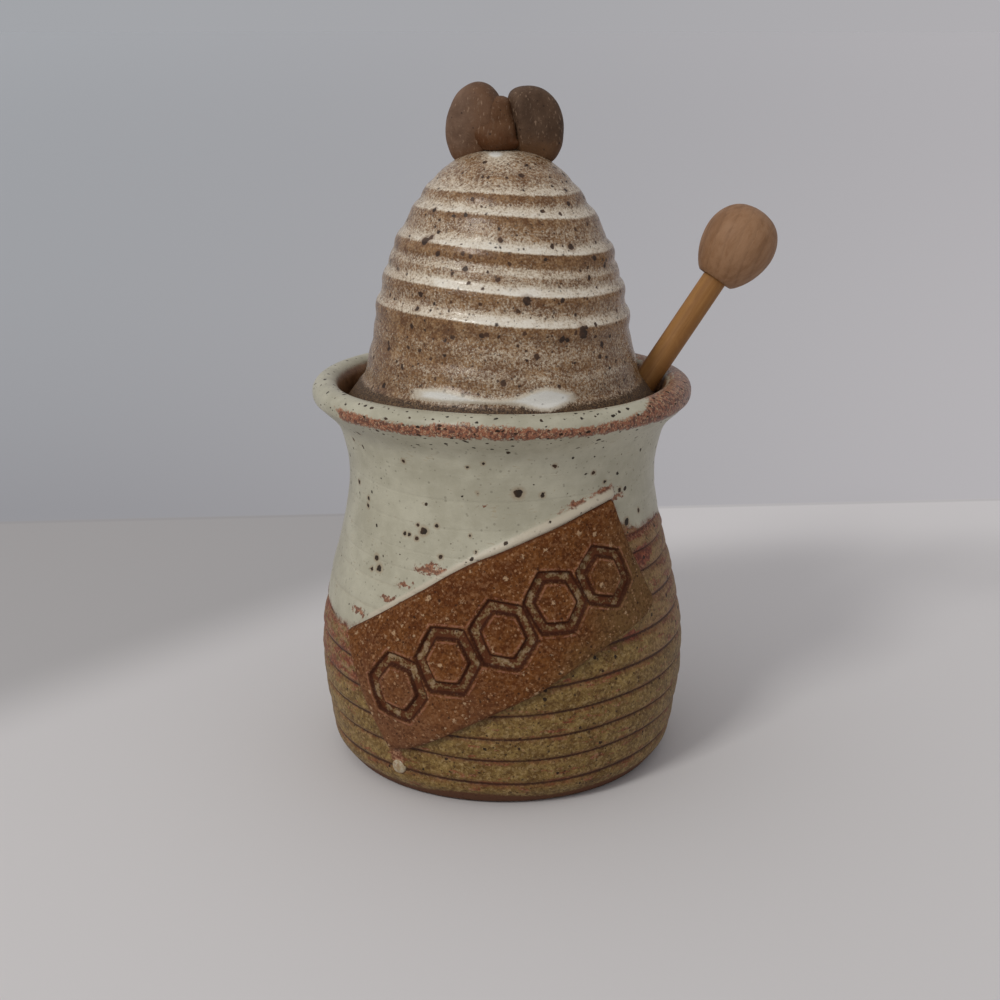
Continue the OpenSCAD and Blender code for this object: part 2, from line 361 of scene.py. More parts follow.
def build_pot(material):
    n = 432
    phi = np.arange(n) * 360.0 / n - 180
    segs = []  # (radius, height, inside, wall) rows

    def add(r, z, ins, wall):
        segs.append((r, z, ins, wall))

    for r in (12, 24, 33, 38, 39.6, 40.6):
        add(r, 0.0 if r < 40 else 0.02, 0, 0)
    add(41.0, 0.25, 0, 0)
    for z in np.arange(0.6, 91.6, 0.64):
        add(float(wall_r(z)), float(z), 0, 1)
    for z, r in ((92.4, 44.55), (93.2, 45.4), (93.9, 46.2)):
        add(r, z, 0, 0.5)
    # the rim: a sharp lower corner, a face that leans out, and a broad top
    for r, z in ((46.8, 94.6), (47.4, 95.1), (47.95, 95.6), (48.2, 96.1), (48.3, 96.7), (48.33, 97.3), (48.3, 97.9), (48.15, 98.5),
                 (47.85, 99.1), (47.4, 99.65), (46.8, 100.1), (46.1, 100.45), (45.3, 100.65), (44.5, 100.7), (43.8, 100.6),
                 (43.1, 100.3), (42.5, 99.85), (42.0, 99.2), (41.7, 98.4), (41.55, 97.6)):
        add(r, z, 0 if r > 43 or z > 100 else 0.4 + 0.6 * (100.2 - z) / 2.6, 0)
    for z in (96.8, 95.9, 95.0, 94.2, 93.4, 92.6):
        add(41.5, z, 1, 0)
    for r, z in ((41.2, 91.9), (40.5, 91.55), (39.2, 91.5), (37.8, 91.4), (37.0, 90.8)):
        add(r, z, 1, 0)
    for z in np.arange(88, 15, -3.6):
        add(float(min(37.0, wall_r(z) - 4.75)), float(z), 1, 0)
    ir = float(wall_r(15.6) - 4.75)
    for a in np.linspace(0, -90, 7):
        add(ir - 9 + 9 * math.cos(math.radians(a)), 14.6 + 9 * math.sin(math.radians(a)), 1, 0)
    for r in (26, 12):
        add(r, 5.6, 1, 0)
    S = np.array(segs)
    r0, z0, ins, wall = (S[:, i][:, None] * np.ones((1, n)) for i in range(4))
    P = np.ones((len(S), 1)) * phi[None, :]
    dr = pot_dr(P, z0) * np.where(wall > 0.9, 1, 0)
    edge = (1 - smooth(np.abs(z0 - 97), 3, 9)) * np.where(ins < 0.9, 1, 0)
    wob = POT_W3(P, 97 + 0 * P)
    r = r0 + dr + 0.16 * edge * wob
    z = z0 + 0.22 * edge * POT_W1(P, 40 + 0 * P) * smooth(z0, 93, 99)
    z = np.where((z0 < 0.3) & (ins < 0.5), z0, z)
    # throwing lines inside the gallery and down the inner wall
    r = r + np.where((ins > 0.9) & (z0 > 8), 0.16 * np.sin(2 * PI * (z0 + 0.02 * P) / 4.1), 0) * np.where(z0 < 90, 1, 0.5)
    # glaze line, as a height above it, wandering a little
    gl = z0 - curve(GLAZE_LINE, P)
    # the unglazed band at the foot, and the rust on the rim's outer face: distances in mm
    foot = z0 - (3.0 + 0.5 * POT_W2(P, 0 * P))
    right = smooth(P, 36, 56) * (1 - smooth(P, 110, 150))
    top = 98.4 + 0.35 * POT_W2(P, 0 * P) + 1.7 * right + 3.2 * smooth(P, 46, 66) * (1 - smooth(P, 115, 150))
    low = 95.5 - 0.4 * right + 5 * (1 - smooth(P, -62, -50)) * smooth(P, -175, -150)
    rust = np.minimum(z0 - low, top - z0)
    rust = np.where((ins > 0.05) | (z0 < 90) | (r0 < 44.5), -9, rust)
    inner = 0.75 - np.abs(r0 - 43.3) + 0.9 * (smooth(P, 10, 30) * (1 - smooth(P, 120, 150)) - 1) * 3
    rust = np.maximum(rust, np.where((z0 > 98.5) & (r0 < 45), inner, -9))
    d, past = label_gap(P, z0)
    roll = np.minimum(np.minimum(d + 0.6, roll_width(P) + 0.35 - d), (P + 47) * 0.4)
    roll = np.where((past > 0.5) | (ins > 0.05), -9, roll)
    pts = lathe_points(r, z, phi).reshape(-1, 3)
    verts = np.vstack([[0, 0, 0.0], pts, [0, 0, 5.6]])
    faces = lathe_faces(len(S), n)
    q = ring_q(P, z0 + 0.35 * POT_W3(P, z0))
    attrs = {
        "gl": flat(-50, gl, 30), "ins": flat(0, ins, 1), "q": flat(0, q, 0),
        "foot": flat(-9, np.where(ins > 0.5, 9, foot), 9), "rust": flat(-9, rust, -9), "roll": flat(-9, roll, -9),
    }
    return make_mesh("pot", verts, faces, attrs, "pot", ["pot_body"], material)


# ------------------------------------------------------------------ label: shape
LABEL_L, LABEL_W, LABEL_T = 83.0, 31.0, 2.0
CELLS = [(12.4, 14.4, 24), (27.0, 15.2, 33), (41.6, 15.0, 28), (56.2, 16.0, 35), (70.6, 15.4, 27)]


def hexdist(x, y, turn):
    """Distance of (x, y) from a cell's centre in the hexagon's own measure: its flats lie at that value."""
    a = math.radians(turn)
    best = None
    for k in range(3):
        t = a + k * PI / 3 + PI / 2
        d = np.abs(x * math.cos(t) + y * math.sin(t))
        best = d if best is None else np.maximum(best, d)
    # corners a little round
    return best * 0.9 + 0.1 * np.hypot(x, y)


def label_point(s, t):
    a, b = label_edge(LABEL_BOTTOM, s), label_edge(LABEL_TOP, s)
    return a[0] * (1 - t) + b[0] * t, a[1] * (1 - t) + b[1] * t


def build_label(material):
    nu, nv = 300, 112
    us = np.linspace(0, 1, nu)
    vs = np.linspace(0, 1, nv)
    U, V = np.meshgrid(us, vs, indexing="ij")
    X, Y = U * LABEL_L, V * LABEL_W
    w = Waves(31, 24, 6, 0.08)
    # the outline: cut by hand, with soft corners
    ex = np.minimum(X, LABEL_L - X)
    ey = np.minimum(Y, LABEL_W - Y)
    rc = np.where((X > 60) & (Y < 15), 3.0, 1.4)
    cx, cy = np.maximum(rc - ex, 0), np.maximum(rc - ey, 0)
    d = np.where((cx > 0) & (cy > 0), rc - np.hypot(cx, cy), np.minimum(ex, ey))
    lift = LABEL_T * (1 - np.exp(-np.maximum(d, 0) / 0.38)) - 0.55 * np.exp(-np.maximum(d, 0) / 0.25)
    lift = lift + 0.10 * w(X * 3.0, Y) * smooth(d, 0.5, 3)
    lift = lift - 0.25 * smooth(3.5 - d, 0, 3.5)
    lift = np.where(d <= 0, -0.9, lift)
    stroke = np.full_like(X, 9.0)
    for cxk, cyk, turn in CELLS:
        h = hexdist(X - cxk, Y - cyk, turn)
        stroke = np.minimum(stroke, np.abs(h - 5.8))
    press = 1 - smooth(stroke, 0.85, 1.45)
    rimmed = np.exp(-(((stroke - 1.80) / 0.42) ** 2))
    # the glaze lying in the stamping fills it a little, unevenly
    fill = (0.22 + 0.12 * w(X * 9, Y * 3)) * press
    lift = lift - 0.95 * press + 0.16 * rimmed + fill
    phi, z = label_point(U, V)
    base = wall_r(z)
    r = base + lift
    top = lathe_grid(phi, r, z)
    under = lathe_grid(phi, base - 1.0, z)
    verts = np.vstack([top.reshape(-1, 3), under.reshape(-1, 3)])
    m = nu * nv
    faces = []
    for i in range(nu - 1):
        for j in range(nv - 1):
            a, b, c, e = i * nv + j, (i + 1) * nv + j, (i + 1) * nv + j + 1, i * nv + j + 1
            faces.append([a, b, c, e])
            faces.append([m + a, m + e, m + c, m + b])
    for i in range(nu - 1):
        a, b = i * nv, (i + 1) * nv
        faces.append([a, m + a, m + b, b])
        a, b = i * nv + nv - 1, (i + 1) * nv + nv - 1
        faces.append([a, b, m + b, m + a])
    for j in range(nv - 1):
        a, b = j, j + 1
        faces.append([a, b, m + b, m + a])
        a, b = (nu - 1) * nv + j, (nu - 1) * nv + j + 1
        faces.append([a, m + a, m + b, b])
    two = lambda g: np.concatenate([g.ravel(), g.ravel()])
    attrs = {"stroke": two(stroke), "edge": two(d), "lu": two(X), "lv": two(Y)}
    return make_mesh("clay_label", verts, faces, attrs, "pot", ["label_plaque"], material)


def lathe_grid(phi, r, z):
    a = np.radians(phi)
    return np.stack([r * np.sin(a), -r * np.cos(a), z], -1)


# ------------------------------------------------------------------ lid: shape
LID_WALL = [
    (99.0, 36.9), (101, 35.3), (104, 34.5), (107, 33.8), (110, 32.9), (113, 32.4), (116, 32.1), (119, 31.5),
    (122, 30.8), (125, 30.0), (128, 29.1), (131, 28.1), (134, 27.0), (137, 25.6), (140, 23.9), (143, 22.0),
    (146, 20.0), (149, 17.9), (151, 16.2), (153, 13.9), (155, 10.9), (156.4, 7.4), (157.0, 4.0), (157.2, 0.5),
]
# Throwing ridges: height of the edge and how far it stands out
RIDGES = [(107.0, 0.20), (112.4, 0.25), (118.7, 0.75), (125.6, 0.80), (130.0, 0.45), (134.9, 0.85), (139.0, 0.30), (142.6, 0.85),
          (147.3, 0.75), (151.6, 0.25)]
LEAN = Vector((0.665, 0.12, 1.0)).normalized()
LEAN_AT = Vector((35.6, 1.6, 96.0))


def lid_r(z):
    return curve(LID_WALL, z)


def ring_turn(phi, z):
    """The thrown rings lie a little askew: higher on the left, lower on the right."""
    return (1.6 - 1.0 * smooth(z, 137, 148)) * np.sin(np.radians(phi))


def lid_ridges(z):
    """Each coil slopes out over its shoulder to an edge, and its face falls back slowly below it."""
    out = np.zeros_like(z)
    for k, a in RIDGES:
        t = z - k
        out = out + a * (1 - smooth(t, 0, 2.0)) * (1 - smooth(-t, 0.8, 4.2))
    return out - 0.2


# Share of white in the glaze over the height: white where it lies thick on a shoulder, brightened there by a painted
# highlight where light falls on the shoulder; brown where it ran thin under an edge
LID_WHITE_AND_HIGHLIGHT = [
    (98, 0.10), (100.5, 0.40), (102.5, 0.42), (105.2, 0.36), (106.8, 0.50), (109.0, 0.32), (112.3, 0.46), (114.2, 0.34), (118.5, 0.16), (118.9, 0.95),
    (120.4, 0.84), (121.6, 0.50), (123.2, 0.34), (125.4, 0.20), (125.8, 1.0), (127.3, 0.90), (128.5, 0.48), (129.6, 0.44), (130.0, 0.74),
    (131.3, 0.60), (132.6, 0.14), (134.7, 0.06), (135.1, 0.98), (136.6, 0.88), (138.0, 0.44), (140.0, 0.38), (142.3, 0.16), (142.8, 0.95),
    (144.2, 0.78), (145.6, 0.34), (147.0, 0.10), (147.5, 0.85), (149.3, 0.60), (151.0, 0.40), (152.0, 0.46), (155, 0.46), (157.2, 0.50),
]


def lid_white_and_highlight(zz, phi):
    out = np.interp(zz, *np.array(LID_WHITE_AND_HIGHLIGHT).T)
    # the banding is strongest toward the front: partly a painted highlight there
    front = 0.45 + 0.55 * np.exp(-((np.abs((phi - 6 + 180) % 360 - 180) / 58) ** 4))
    # browner on the lower left
    left = smooth(-phi, 5, 35) * (1 - smooth(-phi, 75, 110)) * (1 - smooth(zz, 116, 124))
    return 0.42 + (out - 0.42) * front - 0.13 * left


LID_W1, LID_W2 = Waves(41, 20, 3, 0.02), Waves(42, 30, 12, 0.16)


def build_lid(material):
    n = 330
    phi = np.arange(n) * 360.0 / n - 180
    segs = []

    def add(r, z, ins, wall):
        segs.append((r, z, ins, wall))

    # from the middle of the hollow out, down the inside, round the collar and brim, and up the dome
    for r in (5, 10):
        add(r, 152.6 - 0.02 * r * r, 1, 0)
    for z in np.arange(149, 96, -3.4):
        add(float(lid_r(z)) - 4.4, float(z), 1, 0)
    for z in (94.5, 92, 89, 86.4):
        add(31.45, z, 1, 0)
    for r, z in ((31.6, 85.5), (32.2, 85.05), (33.3, 85.0), (34.4, 85.05), (35.0, 85.5), (35.2, 86.4)):
        add(r, z, 0.5, 0)
    for z in (88, 89.6, 91.2):
        add(35.2, z, 0.5, 0)
    for r, z in ((35.6, 91.6), (37, 91.6), (38.6, 91.6), (39.9, 91.62), (40.5, 91.9), (40.7, 92.5), (40.7, 93.2),
                 (40.4, 94.0), (39.8, 94.9), (39.1, 95.9), (38.4, 96.8), (37.8, 97.6), (37.3, 98.3)):
        add(r, z, 0.5 if r < 40 and z < 92 else 0, 0)
    zs = np.concatenate([np.arange(99, 150.6, 0.28), np.array([151, 151.6, 152.2, 152.8, 153.4, 154, 154.5, 155, 155.4, 155.8, 156.1, 156.4, 156.7, 156.95])])
    for z in zs:
        add(float(lid_r(z)), float(z), 0, 1)
    add(2.4, 157.15, 0, 0.3)
    S = np.array(segs)
    r0, z0, ins, wall = (S[:, i][:, None] * np.ones((1, n)) for i in range(4))
    P = np.ones((len(S), 1)) * phi[None, :]
    zz = z0 + 0.35 * LID_W1(P, z0) * smooth(z0, 100, 106) + ring_turn(P, z0) * smooth(z0, 100, 110) * (1 - smooth(z0, 151, 156))
    rid = lid_ridges(zz) * (1 + 0.20 * LID_W1(P, z0 * 1.7 + 30)) + 0.03 * LID_W2(P, z0)
    on = np.where(wall > 0.9, 1.0, 0.0) * (1 - smooth(z0, 152, 155.5))
    # the thick white glaze just above the brim: a lobe on the left, and a bigger one right of the middle that sags
    left, right = np.exp(-(((P + 25) / 13.5) ** 2)), np.exp(-(((P - 17) / 10.5) ** 2))
    rtop = 102.3 + 2.0 * left + 2.6 * right + 0.15 * LID_W1(P * 2, 0 * P)
    rlow = 100.5 - 0.4 * left - 1.9 * np.exp(-(((P - 17) / 9.0) ** 2))
    roll = np.minimum(np.minimum(z0 - rlow, rtop - z0), np.minimum((P + 41) * 0.16, (31.5 - P) * 0.26))
    roll = np.where(((wall > 0.5) | (z0 > 97.4)) & (ins < 0.1), roll, -9)
    # the pool of white glaze under the bee
    px = r0 * np.sin(np.radians(P))
    pool = 2.45 - np.hypot(px + 1.4, (r0 - 7.0) * 0.80) + 0.22 * LID_W1(P * 3, z0)
    pool = np.where((wall > 0.2) & (np.abs(P) < 80), pool, -9)
    r = r0 + (rid + 0.12 * LID_W1(P, z0)) * on + 0.55 * smooth(roll, -0.6, 1.5) + 0.75 * smooth(pool, -0.5, 1.2) * smooth(r0, 2, 6)
    r = r + np.where((ins > 0.9) & (z0 < 149) & (z0 > 97), 0.15 * np.sin(2 * PI * z0 / 5.2), 0)
    pts = lathe_points(r, z0, phi).reshape(-1, 3)
    verts = np.vstack([[0, 0, 152.8], pts, [0, 0, 157.2]])
    faces = lathe_faces(len(S), n)
    faces = [f[::-1] for f in faces]
    # wh: share of white glaze, partly a painted highlight
    attrs = {"ins": flat(1, ins, 0), "wh": flat(0.4, lid_white_and_highlight(zz, P), 0.6), "roll": flat(-9, roll, -9), "pool": flat(-9, pool, 0)}
    lid = make_mesh("lid", verts, faces, attrs, None, (), material)
    cut_notch(lid)
    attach(lid, "lid")
    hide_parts("lid_shell")
    return lid


def cut_notch(lid):
    """The notch for the dipper: a round-ended slot along the dowel's lean, open outwards."""
    rad, out, n = 4.25, 16.0, 20
    ring = [(rad * math.sin(math.radians(a)), -rad * math.cos(math.radians(a))) for a in np.linspace(0, -180, n)]
    ring = [(x, y) for x, y in ring] + [(out, rad), (out, -rad)]
    t = lean_matrix()
    verts = [t @ Vector((x, y, h)) for h in (-26.0, 30.0) for x, y in ring]
    m = len(ring)
    faces = [list(range(m))[::-1], list(range(m, 2 * m))] + [[k, (k + 1) % m, m + (k + 1) % m, m + k] for k in range(m)]
    me = bpy.data.meshes.new("notch")
    me.from_pydata([tuple(v * MM) for v in verts], [], faces)
    me.update()
    bm_fix(me)
    cutter = bpy.data.objects.new("notch", me)
    bpy.context.scene.collection.objects.link(cutter)
    mod = lid.modifiers.new("notch", "BOOLEAN")
    mod.operation, mod.object, mod.solver = "DIFFERENCE", cutter, "EXACT"
    dg = bpy.context.evaluated_depsgraph_get()
    new = bpy.data.meshes.new_from_object(lid.evaluated_get(dg), preserve_all_data_layers=True, depsgraph=dg)
    lid.modifiers.clear()
    old = lid.data
    lid.data = new
    new.name = "lid"
    new.polygons.foreach_set("use_smooth", [True] * len(new.polygons))
    bpy.data.meshes.remove(old)
    bpy.data.objects.remove(cutter)
    # hard edges where the slot meets the surface
    new.set_sharp_from_angle(angle=math.radians(38))


def bm_fix(me):
    import bmesh
    bm = bmesh.new()
    bm.from_mesh(me)
    bmesh.ops.recalc_face_normals(bm, faces=bm.faces)
    bm.to_mesh(me)
    bm.free()


def lean_matrix():
    """Turns +Z to the dowel's lean and puts the origin where the dowel passes 96 mm."""
    tilt = math.atan(math.hypot(0.665, 0.12))
    az = math.atan2(0.12, 0.665)
    return Matrix.Translation(LEAN_AT) @ Matrix.Rotation(az, 4, "Z") @ Matrix.Rotation(tilt, 4, "Y")


# ------------------------------------------------------------------ knob: shape
def blob(name, centre, axes, turn, seed, dent, material, body="lid", replaces=(), nu=96, nv=64, power=2.0, shape=None):
    """A pinched lump of clay: a rounded form with finger dents."""
    th = np.linspace(0, PI, nv + 2)[1:-1]
    ph = np.linspace(0, 2 * PI, nu, endpoint=False)
    T, F = np.meshgrid(th, ph, indexing="ij")

    def surf(T, F):
        x, y, z = np.sin(T) * np.cos(F), np.sin(T) * np.sin(F), np.cos(T)
        if power != 2.0:
            k = (np.abs(x) ** power + np.abs(y) ** power + np.abs(z) ** power) ** (-1 / power)
            x, y, z = x * k, y * k, z * k
        r = np.random.RandomState(seed)
        n = 0
        for _ in range(14):
            w = r.normal(size=3) * 2.1
            n = n + np.sin(x * w[0] + y * w[1] + z * w[2] + r.uniform(0, 6.3)) / 14
        fine = 0
        for _ in range(20):
            w = r.normal(size=3) * 9
            fine = fine + np.sin(x * w[0] + y * w[1] + z * w[2] + r.uniform(0, 6.3)) / 20
        k = 1 + dent * n + 0.012 * fine
        p = np.stack([x * axes[0] * k, y * axes[1] * k, z * axes[2] * k], -1)
        return shape(p) if shape else p

    g = surf(T, F).reshape(-1, 3)
    a = surf(np.array([[0.0]]), np.array([[0.0]])).reshape(3)
    b = surf(np.array([[PI]]), np.array([[0.0]])).reshape(3)
    verts = np.vstack([a, g, b])
    m = Matrix.Rotation(math.radians(turn[2]), 3, "Z") @ Matrix.Rotation(math.radians(turn[1]), 3, "Y") @ Matrix.Rotation(math.radians(turn[0]), 3, "X")
    verts = verts @ np.array(m).T + np.array(centre)
    faces = [f[::-1] for f in lathe_faces(nv, nu)]
    ob = make_mesh(name, verts, faces, None, body, replaces, material)
    bm_fix(ob.data)
    ob.data.polygons.foreach_set("use_smooth", [True] * len(ob.data.polygons))
    return ob


def periodic(tab, a):
    """Smooth closed curve through (angle, radius) pairs."""
    t = sorted(tab)
    t = [(x - 360, y) for x, y in t[-2:]] + t + [(x + 360, y) for x, y in t[:2]]
    return curve(t, np.asarray(a) % 360)


def wing(name, centre, outline, thick, seed, bulge, wide, material):
    """A pinched pad of clay: its outline as seen from the front, rounded over to both faces."""
    nr, na = 30, 120
    ang = np.linspace(0, 360, na, endpoint=False)
    R = periodic(outline, ang)[None, :]
    rho = np.sin(np.linspace(0, PI / 2, nr + 1)[1:])[:, None]
    rnd = np.random.RandomState(seed)
    w = [(rnd.normal(size=2) * 0.32, rnd.uniform(0, 6.3)) for _ in range(10)]
    v = [(rnd.normal(size=2) * 1.3, rnd.uniform(0, 6.3)) for _ in range(14)]
    dx = R * rho * np.cos(np.radians(ang))[None, :]
    dz = R * rho * np.sin(np.radians(ang))[None, :]

    def side(sign):
        base = thick / 2 * (1 - rho**3.0) ** (1 / 2.2) * np.ones_like(dx)
        soft = sum(np.sin(dx * a[0] + dz * a[1] + b) for a, b in w) / 10 * 0.5
        fine = sum(np.sin(dx * a[0] + dz * a[1] + b) for a, b in v) / 14 * 0.16
        y = base + (soft + fine) * (1 - rho**6)
        # the side towards the bee's body bends round to it
        y = y + bulge * np.exp(-(((dx * (1 if centre[0] < 0 else -1) - 5.0) / wide) ** 2)) * (1 - rho**6) * (sign < 0) * (0.30 + 0.70 * smooth(dz, -5.0, 1.0))
        return np.stack([centre[0] + dx, centre[1] + sign * y, centre[2] + dz], -1)

    front, back = side(-1), side(1)
    f0, b0 = front[0].mean(0), back[0].mean(0)
    rings = np.concatenate([front, back[:-1][::-1]], 0)
    verts = np.vstack([f0, rings.reshape(-1, 3), b0])
    ob = make_mesh(name, verts, lathe_faces(len(rings), na), None, "lid", ["knob_" + name[4:]], material)
    bm_fix(ob.data)
    ob.data.polygons.foreach_set("use_smooth", [True] * len(ob.data.polygons))
    return ob


WING_LEFT = [(0, 7.0), (30, 8.2), (46, 9.4), (54, 9.8), (68, 10.3), (84, 10.2), (110, 8.75), (141, 7.0), (168, 6.6), (192, 6.9),
             (220, 8.1), (245, 9.8), (268, 9.4), (300, 7.9), (330, 6.8)]
WING_RIGHT = [(19, 6.8), (54, 7.6), (83, 8.75), (104, 9.5), (124, 10.15), (134, 9.8), (155, 7.6), (183, 5.9), (214, 6.9), (232, 8.8),
              (262, 9.6), (292, 9.9), (315, 8.6), (343, 7.1)]
BEE = [(0.0, 3.0), (0.07, 4.0), (0.13, 4.7), (0.24, 5.2), (0.40, 5.2), (0.55, 5.15), (0.68, 5.05), (0.78, 4.8), (0.87, 4.25), (0.94, 3.2), (0.985, 1.7)]
BEE_X = [(155, -1.6), (158, -1.6), (163, -1.85), (166, -2.1), (168, -2.0), (170.5, -1.2)]


def build_knob(body_mat, left_mat, right_mat):
    wing("bee_wing_left", (-7.2, 1.3, 163.0), WING_LEFT, 8.8, 3, 3.5, 4.4, left_mat)
    wing("bee_wing_right", (8.4, 1.2, 163.0), WING_RIGHT, 8.6, 8, 2.3, 3.8, right_mat)
    # the bee's body, pinched up from the dome between the wings
    n, m = 96, 54
    a = np.linspace(-180, 180, n, endpoint=False)[None, :]
    u = np.linspace(0, 0.985, m)[:, None]
    rad = curve(BEE, u)
    z = 157.1 + u * 12.9 + 0 * a
    w1, w2 = Waves(61, 16, 5, 0.05), Waves(62, 24, 12, 0.3)
    r = rad * (1 + 0.035 * w1(a, z * 3) + 0.012 * w2(a, z))
    # flatter at the front
    sq = 1 / np.maximum(np.abs(np.sin(np.radians(a))) ** 2.8 + np.abs(np.cos(np.radians(a))) ** 2.8, 1e-6) ** (1 / 2.8)
    r = r * (0.35 + 0.65 * sq)
    # its foot spreads to meet the right wing
    r = r + 1.9 * np.exp(-(((a - 95) / 40) ** 2)) * (1 - smooth(u, 0.10, 0.26))
    pts = lathe_points(r, z, a[0])
    pts[..., 0] += curve(BEE_X, z)
    # the left shoulder of its front runs into the left wing
    pts[..., 1] = pts[..., 1] - 1.5 + 0.10 * (z - 157.0) + 0.9 * smooth(-(pts[..., 0] + 2.5), 0, 4.0) * smooth(-pts[..., 1], 1, 4)
    top = pts[-1].mean(0) + np.array([0, 0, 0.12])
    verts = np.vstack([pts[0].mean(0), pts.reshape(-1, 3), top])
    ob = make_mesh("bee_body", verts, lathe_faces(m, n), None, "lid", ["knob_body"], body_mat)
    bm_fix(ob.data)
    ob.data.polygons.foreach_set("use_smooth", [True] * len(ob.data.polygons))


# ------------------------------------------------------------------ dipper: shape
def on_lean(verts):
    t = np.array(lean_matrix())
    return verts @ t[:3, :3].T + t[:3, 3]


def lean_lathe(name, prof, n, material, replaces, wob=0.0, seed=1, attrs=None):
    """A turned piece on the dowel's axis; prof is (radius, place along the axis), from the lower end up."""
    prof = np.array(prof, float)
    a = np.linspace(0, 360, n, endpoint=False)
    w = Waves(seed, 12, 3, 0.02)
    r = prof[:, :1] * (1 + wob * w(a[None, :], prof[:, 1:2]))
    z = prof[:, 1:2] * np.ones((1, n))
    pts = lathe_points(r, z, a).reshape(-1, 3)
    verts = np.vstack([[0, 0, prof[0, 1]], pts, [0, 0, prof[-1, 1]]])
    faces = lathe_faces(len(prof), n)
    ob = make_mesh(name, on_lean(verts), faces, attrs, "dipper", replaces, material)
    bm_fix(ob.data)
    ob.data.polygons.foreach_set("use_smooth", [True] * len(ob.data.polygons))
    return ob


BALL_T, BALL_L, HEAD_END, HEAD_L = 44.3, 20.3, -104.4, 32.0
# Stations of the ball from its upper end: share of its length, radius in mm
BALL = [(0.0, 1.9), (0.012, 2.9), (0.030, 4.1), (0.055, 5.1), (0.085, 6.0), (0.135, 7.05), (0.21, 8.07), (0.285, 8.75), (0.36, 9.15),
        (0.44, 9.35), (0.52, 9.30), (0.59, 9.1), (0.67, 8.72), (0.745, 8.2), (0.82, 7.5), (0.895, 6.6), (0.945, 5.85), (0.975, 5.3), (1.0, 4.7)]


def build_dipper(shaft_mat, ball_mat, head_mat):
    r = 3.175
    ts = np.concatenate([[-86.2, -86.0], np.arange(-84, 43, 1.5), [43.4, 43.8]])
    prof = [(r * (0.93 if t in (-86.2, 43.8) else 1.0), t) for t in ts]
    lean_lathe("dowel", prof, 64, shaft_mat, ["dipper_shaft"], 0.006, 3)
    ball = []
    for u in np.concatenate([np.linspace(1, 0.94, 9), np.linspace(0.93, 0.14, 64), np.linspace(0.13, 0, 26)]):
        ball.append((float(curve(BALL, u)), BALL_T + BALL_L / 2 - u * BALL_L))
    lo, hi = BALL_T - BALL_L / 2, BALL_T + BALL_L / 2
    # the flat ends, with eased edges
    ball = [(3.3, lo + 0.05), (3.9, lo), (4.45, lo + 0.01)] + ball
    ball += [(1.4, hi + 0.02), (0.7, hi + 0.03)]
    lean_lathe("dipper_ball_turned", ball, 128, ball_mat, ["dipper_ball"], 0.004, 9)

    def hr(t):
        return 9.5 * (1 - 0.16 * ((t - HEAD_L / 2) / (HEAD_L / 2)) ** 2)

    pitch = (HEAD_L - 5) / 6
    prof = [(hr(0) - 2.4, 0.0), (hr(0) - 1.6, 0.02), (hr(0) - 0.9, 0.3), (hr(0.6) - 0.3, 0.8), (hr(1), 1.4), (hr(2), 2.2)]
    for k in range(6):
        t = 3.4 + k * pitch
        a, b = hr(t), hr(t + pitch / 2)
        prof += [(a - 0.02, t - 0.3), (a - 0.25, t - 0.02), (a - 0.8, t + 0.15), (a - 2.4, t + 0.42), (a - 3.0, t + 0.62), (a - 3.2, t + 1.0),
                 (a - 3.2, t + pitch / 2 - 0.5), (b - 3.0, t + pitch / 2 - 0.15), (b - 2.4, t + pitch / 2 + 0.02),
                 (b - 0.8, t + pitch / 2 + 0.3), (b - 0.25, t + pitch / 2 + 0.45), (b - 0.02, t + pitch / 2 + 0.8)]
    prof += [(hr(HEAD_L - 1.2), HEAD_L - 1.4), (hr(HEAD_L) - 1.0, HEAD_L - 0.5), (hr(HEAD_L) - 2.4, HEAD_L - 0.04), (4.0, HEAD_L), (3.3, HEAD_L)]
    prof = [(x, y + HEAD_END) for x, y in prof]
    lean_lathe("dipper_grooved_head", prof, 96, head_mat, ["dipper_head"], 0.003, 4)


# ------------------------------------------------------------------ materials
POT_SPOTS = [
    (5.5, 80.3, 1.25), (-45, 58.3, 1.0), (-47, 60.5, 0.8), (-28, 69.7, 1.0), (49, 69.1, 1.0), (14, 79.6, 0.7), (-6, 88, 0.55),
    (-35, 86.6, 0.6), (-11.5, 86.8, 0.5), (-8.5, 80.4, 0.5), (17.5, 87, 0.6), (32.5, 84, 0.6), (-64, 76.8, 0.7), (-56, 74, 0.6),
    (-56, 72, 0.6), (-23, 71.4, 0.6), (-35.5, 68.3, 0.55), (-33.5, 68.3, 0.5), (-30.5, 67.7, 0.6), (-30.5, 71, 0.5), (-21, 64.1, 0.6),
    (-48.5, 57.5, 0.6), (-11, 69.8, 0.5), (-9, 66, 0.5), (57.5, 70.6, 0.6), (46, 77.8, 0.6), (38, 81, 0.5), (-51.5, 92, 0.6),
    (-61, 88.5, 0.6), (120, 74, 1.1), (150, 82, 0.8), (-140, 70, 1.0), (-110, 80, 0.7), (175, 64, 0.9), (95, 79, 0.8),
]
RED_PATCHES = [(-25, 60.9, 3.2), (-33, 56.0, 2.2), (-39.5, 52.0, 2.2), (-51.5, 46.5, 2.8), (27, 76.6, 2.6), (38.5, 78.4, 2.6), (-6.5, 77.3, 1.1),
                (-20, 61.2, 2.2), (44, 76.5, 2.2)]
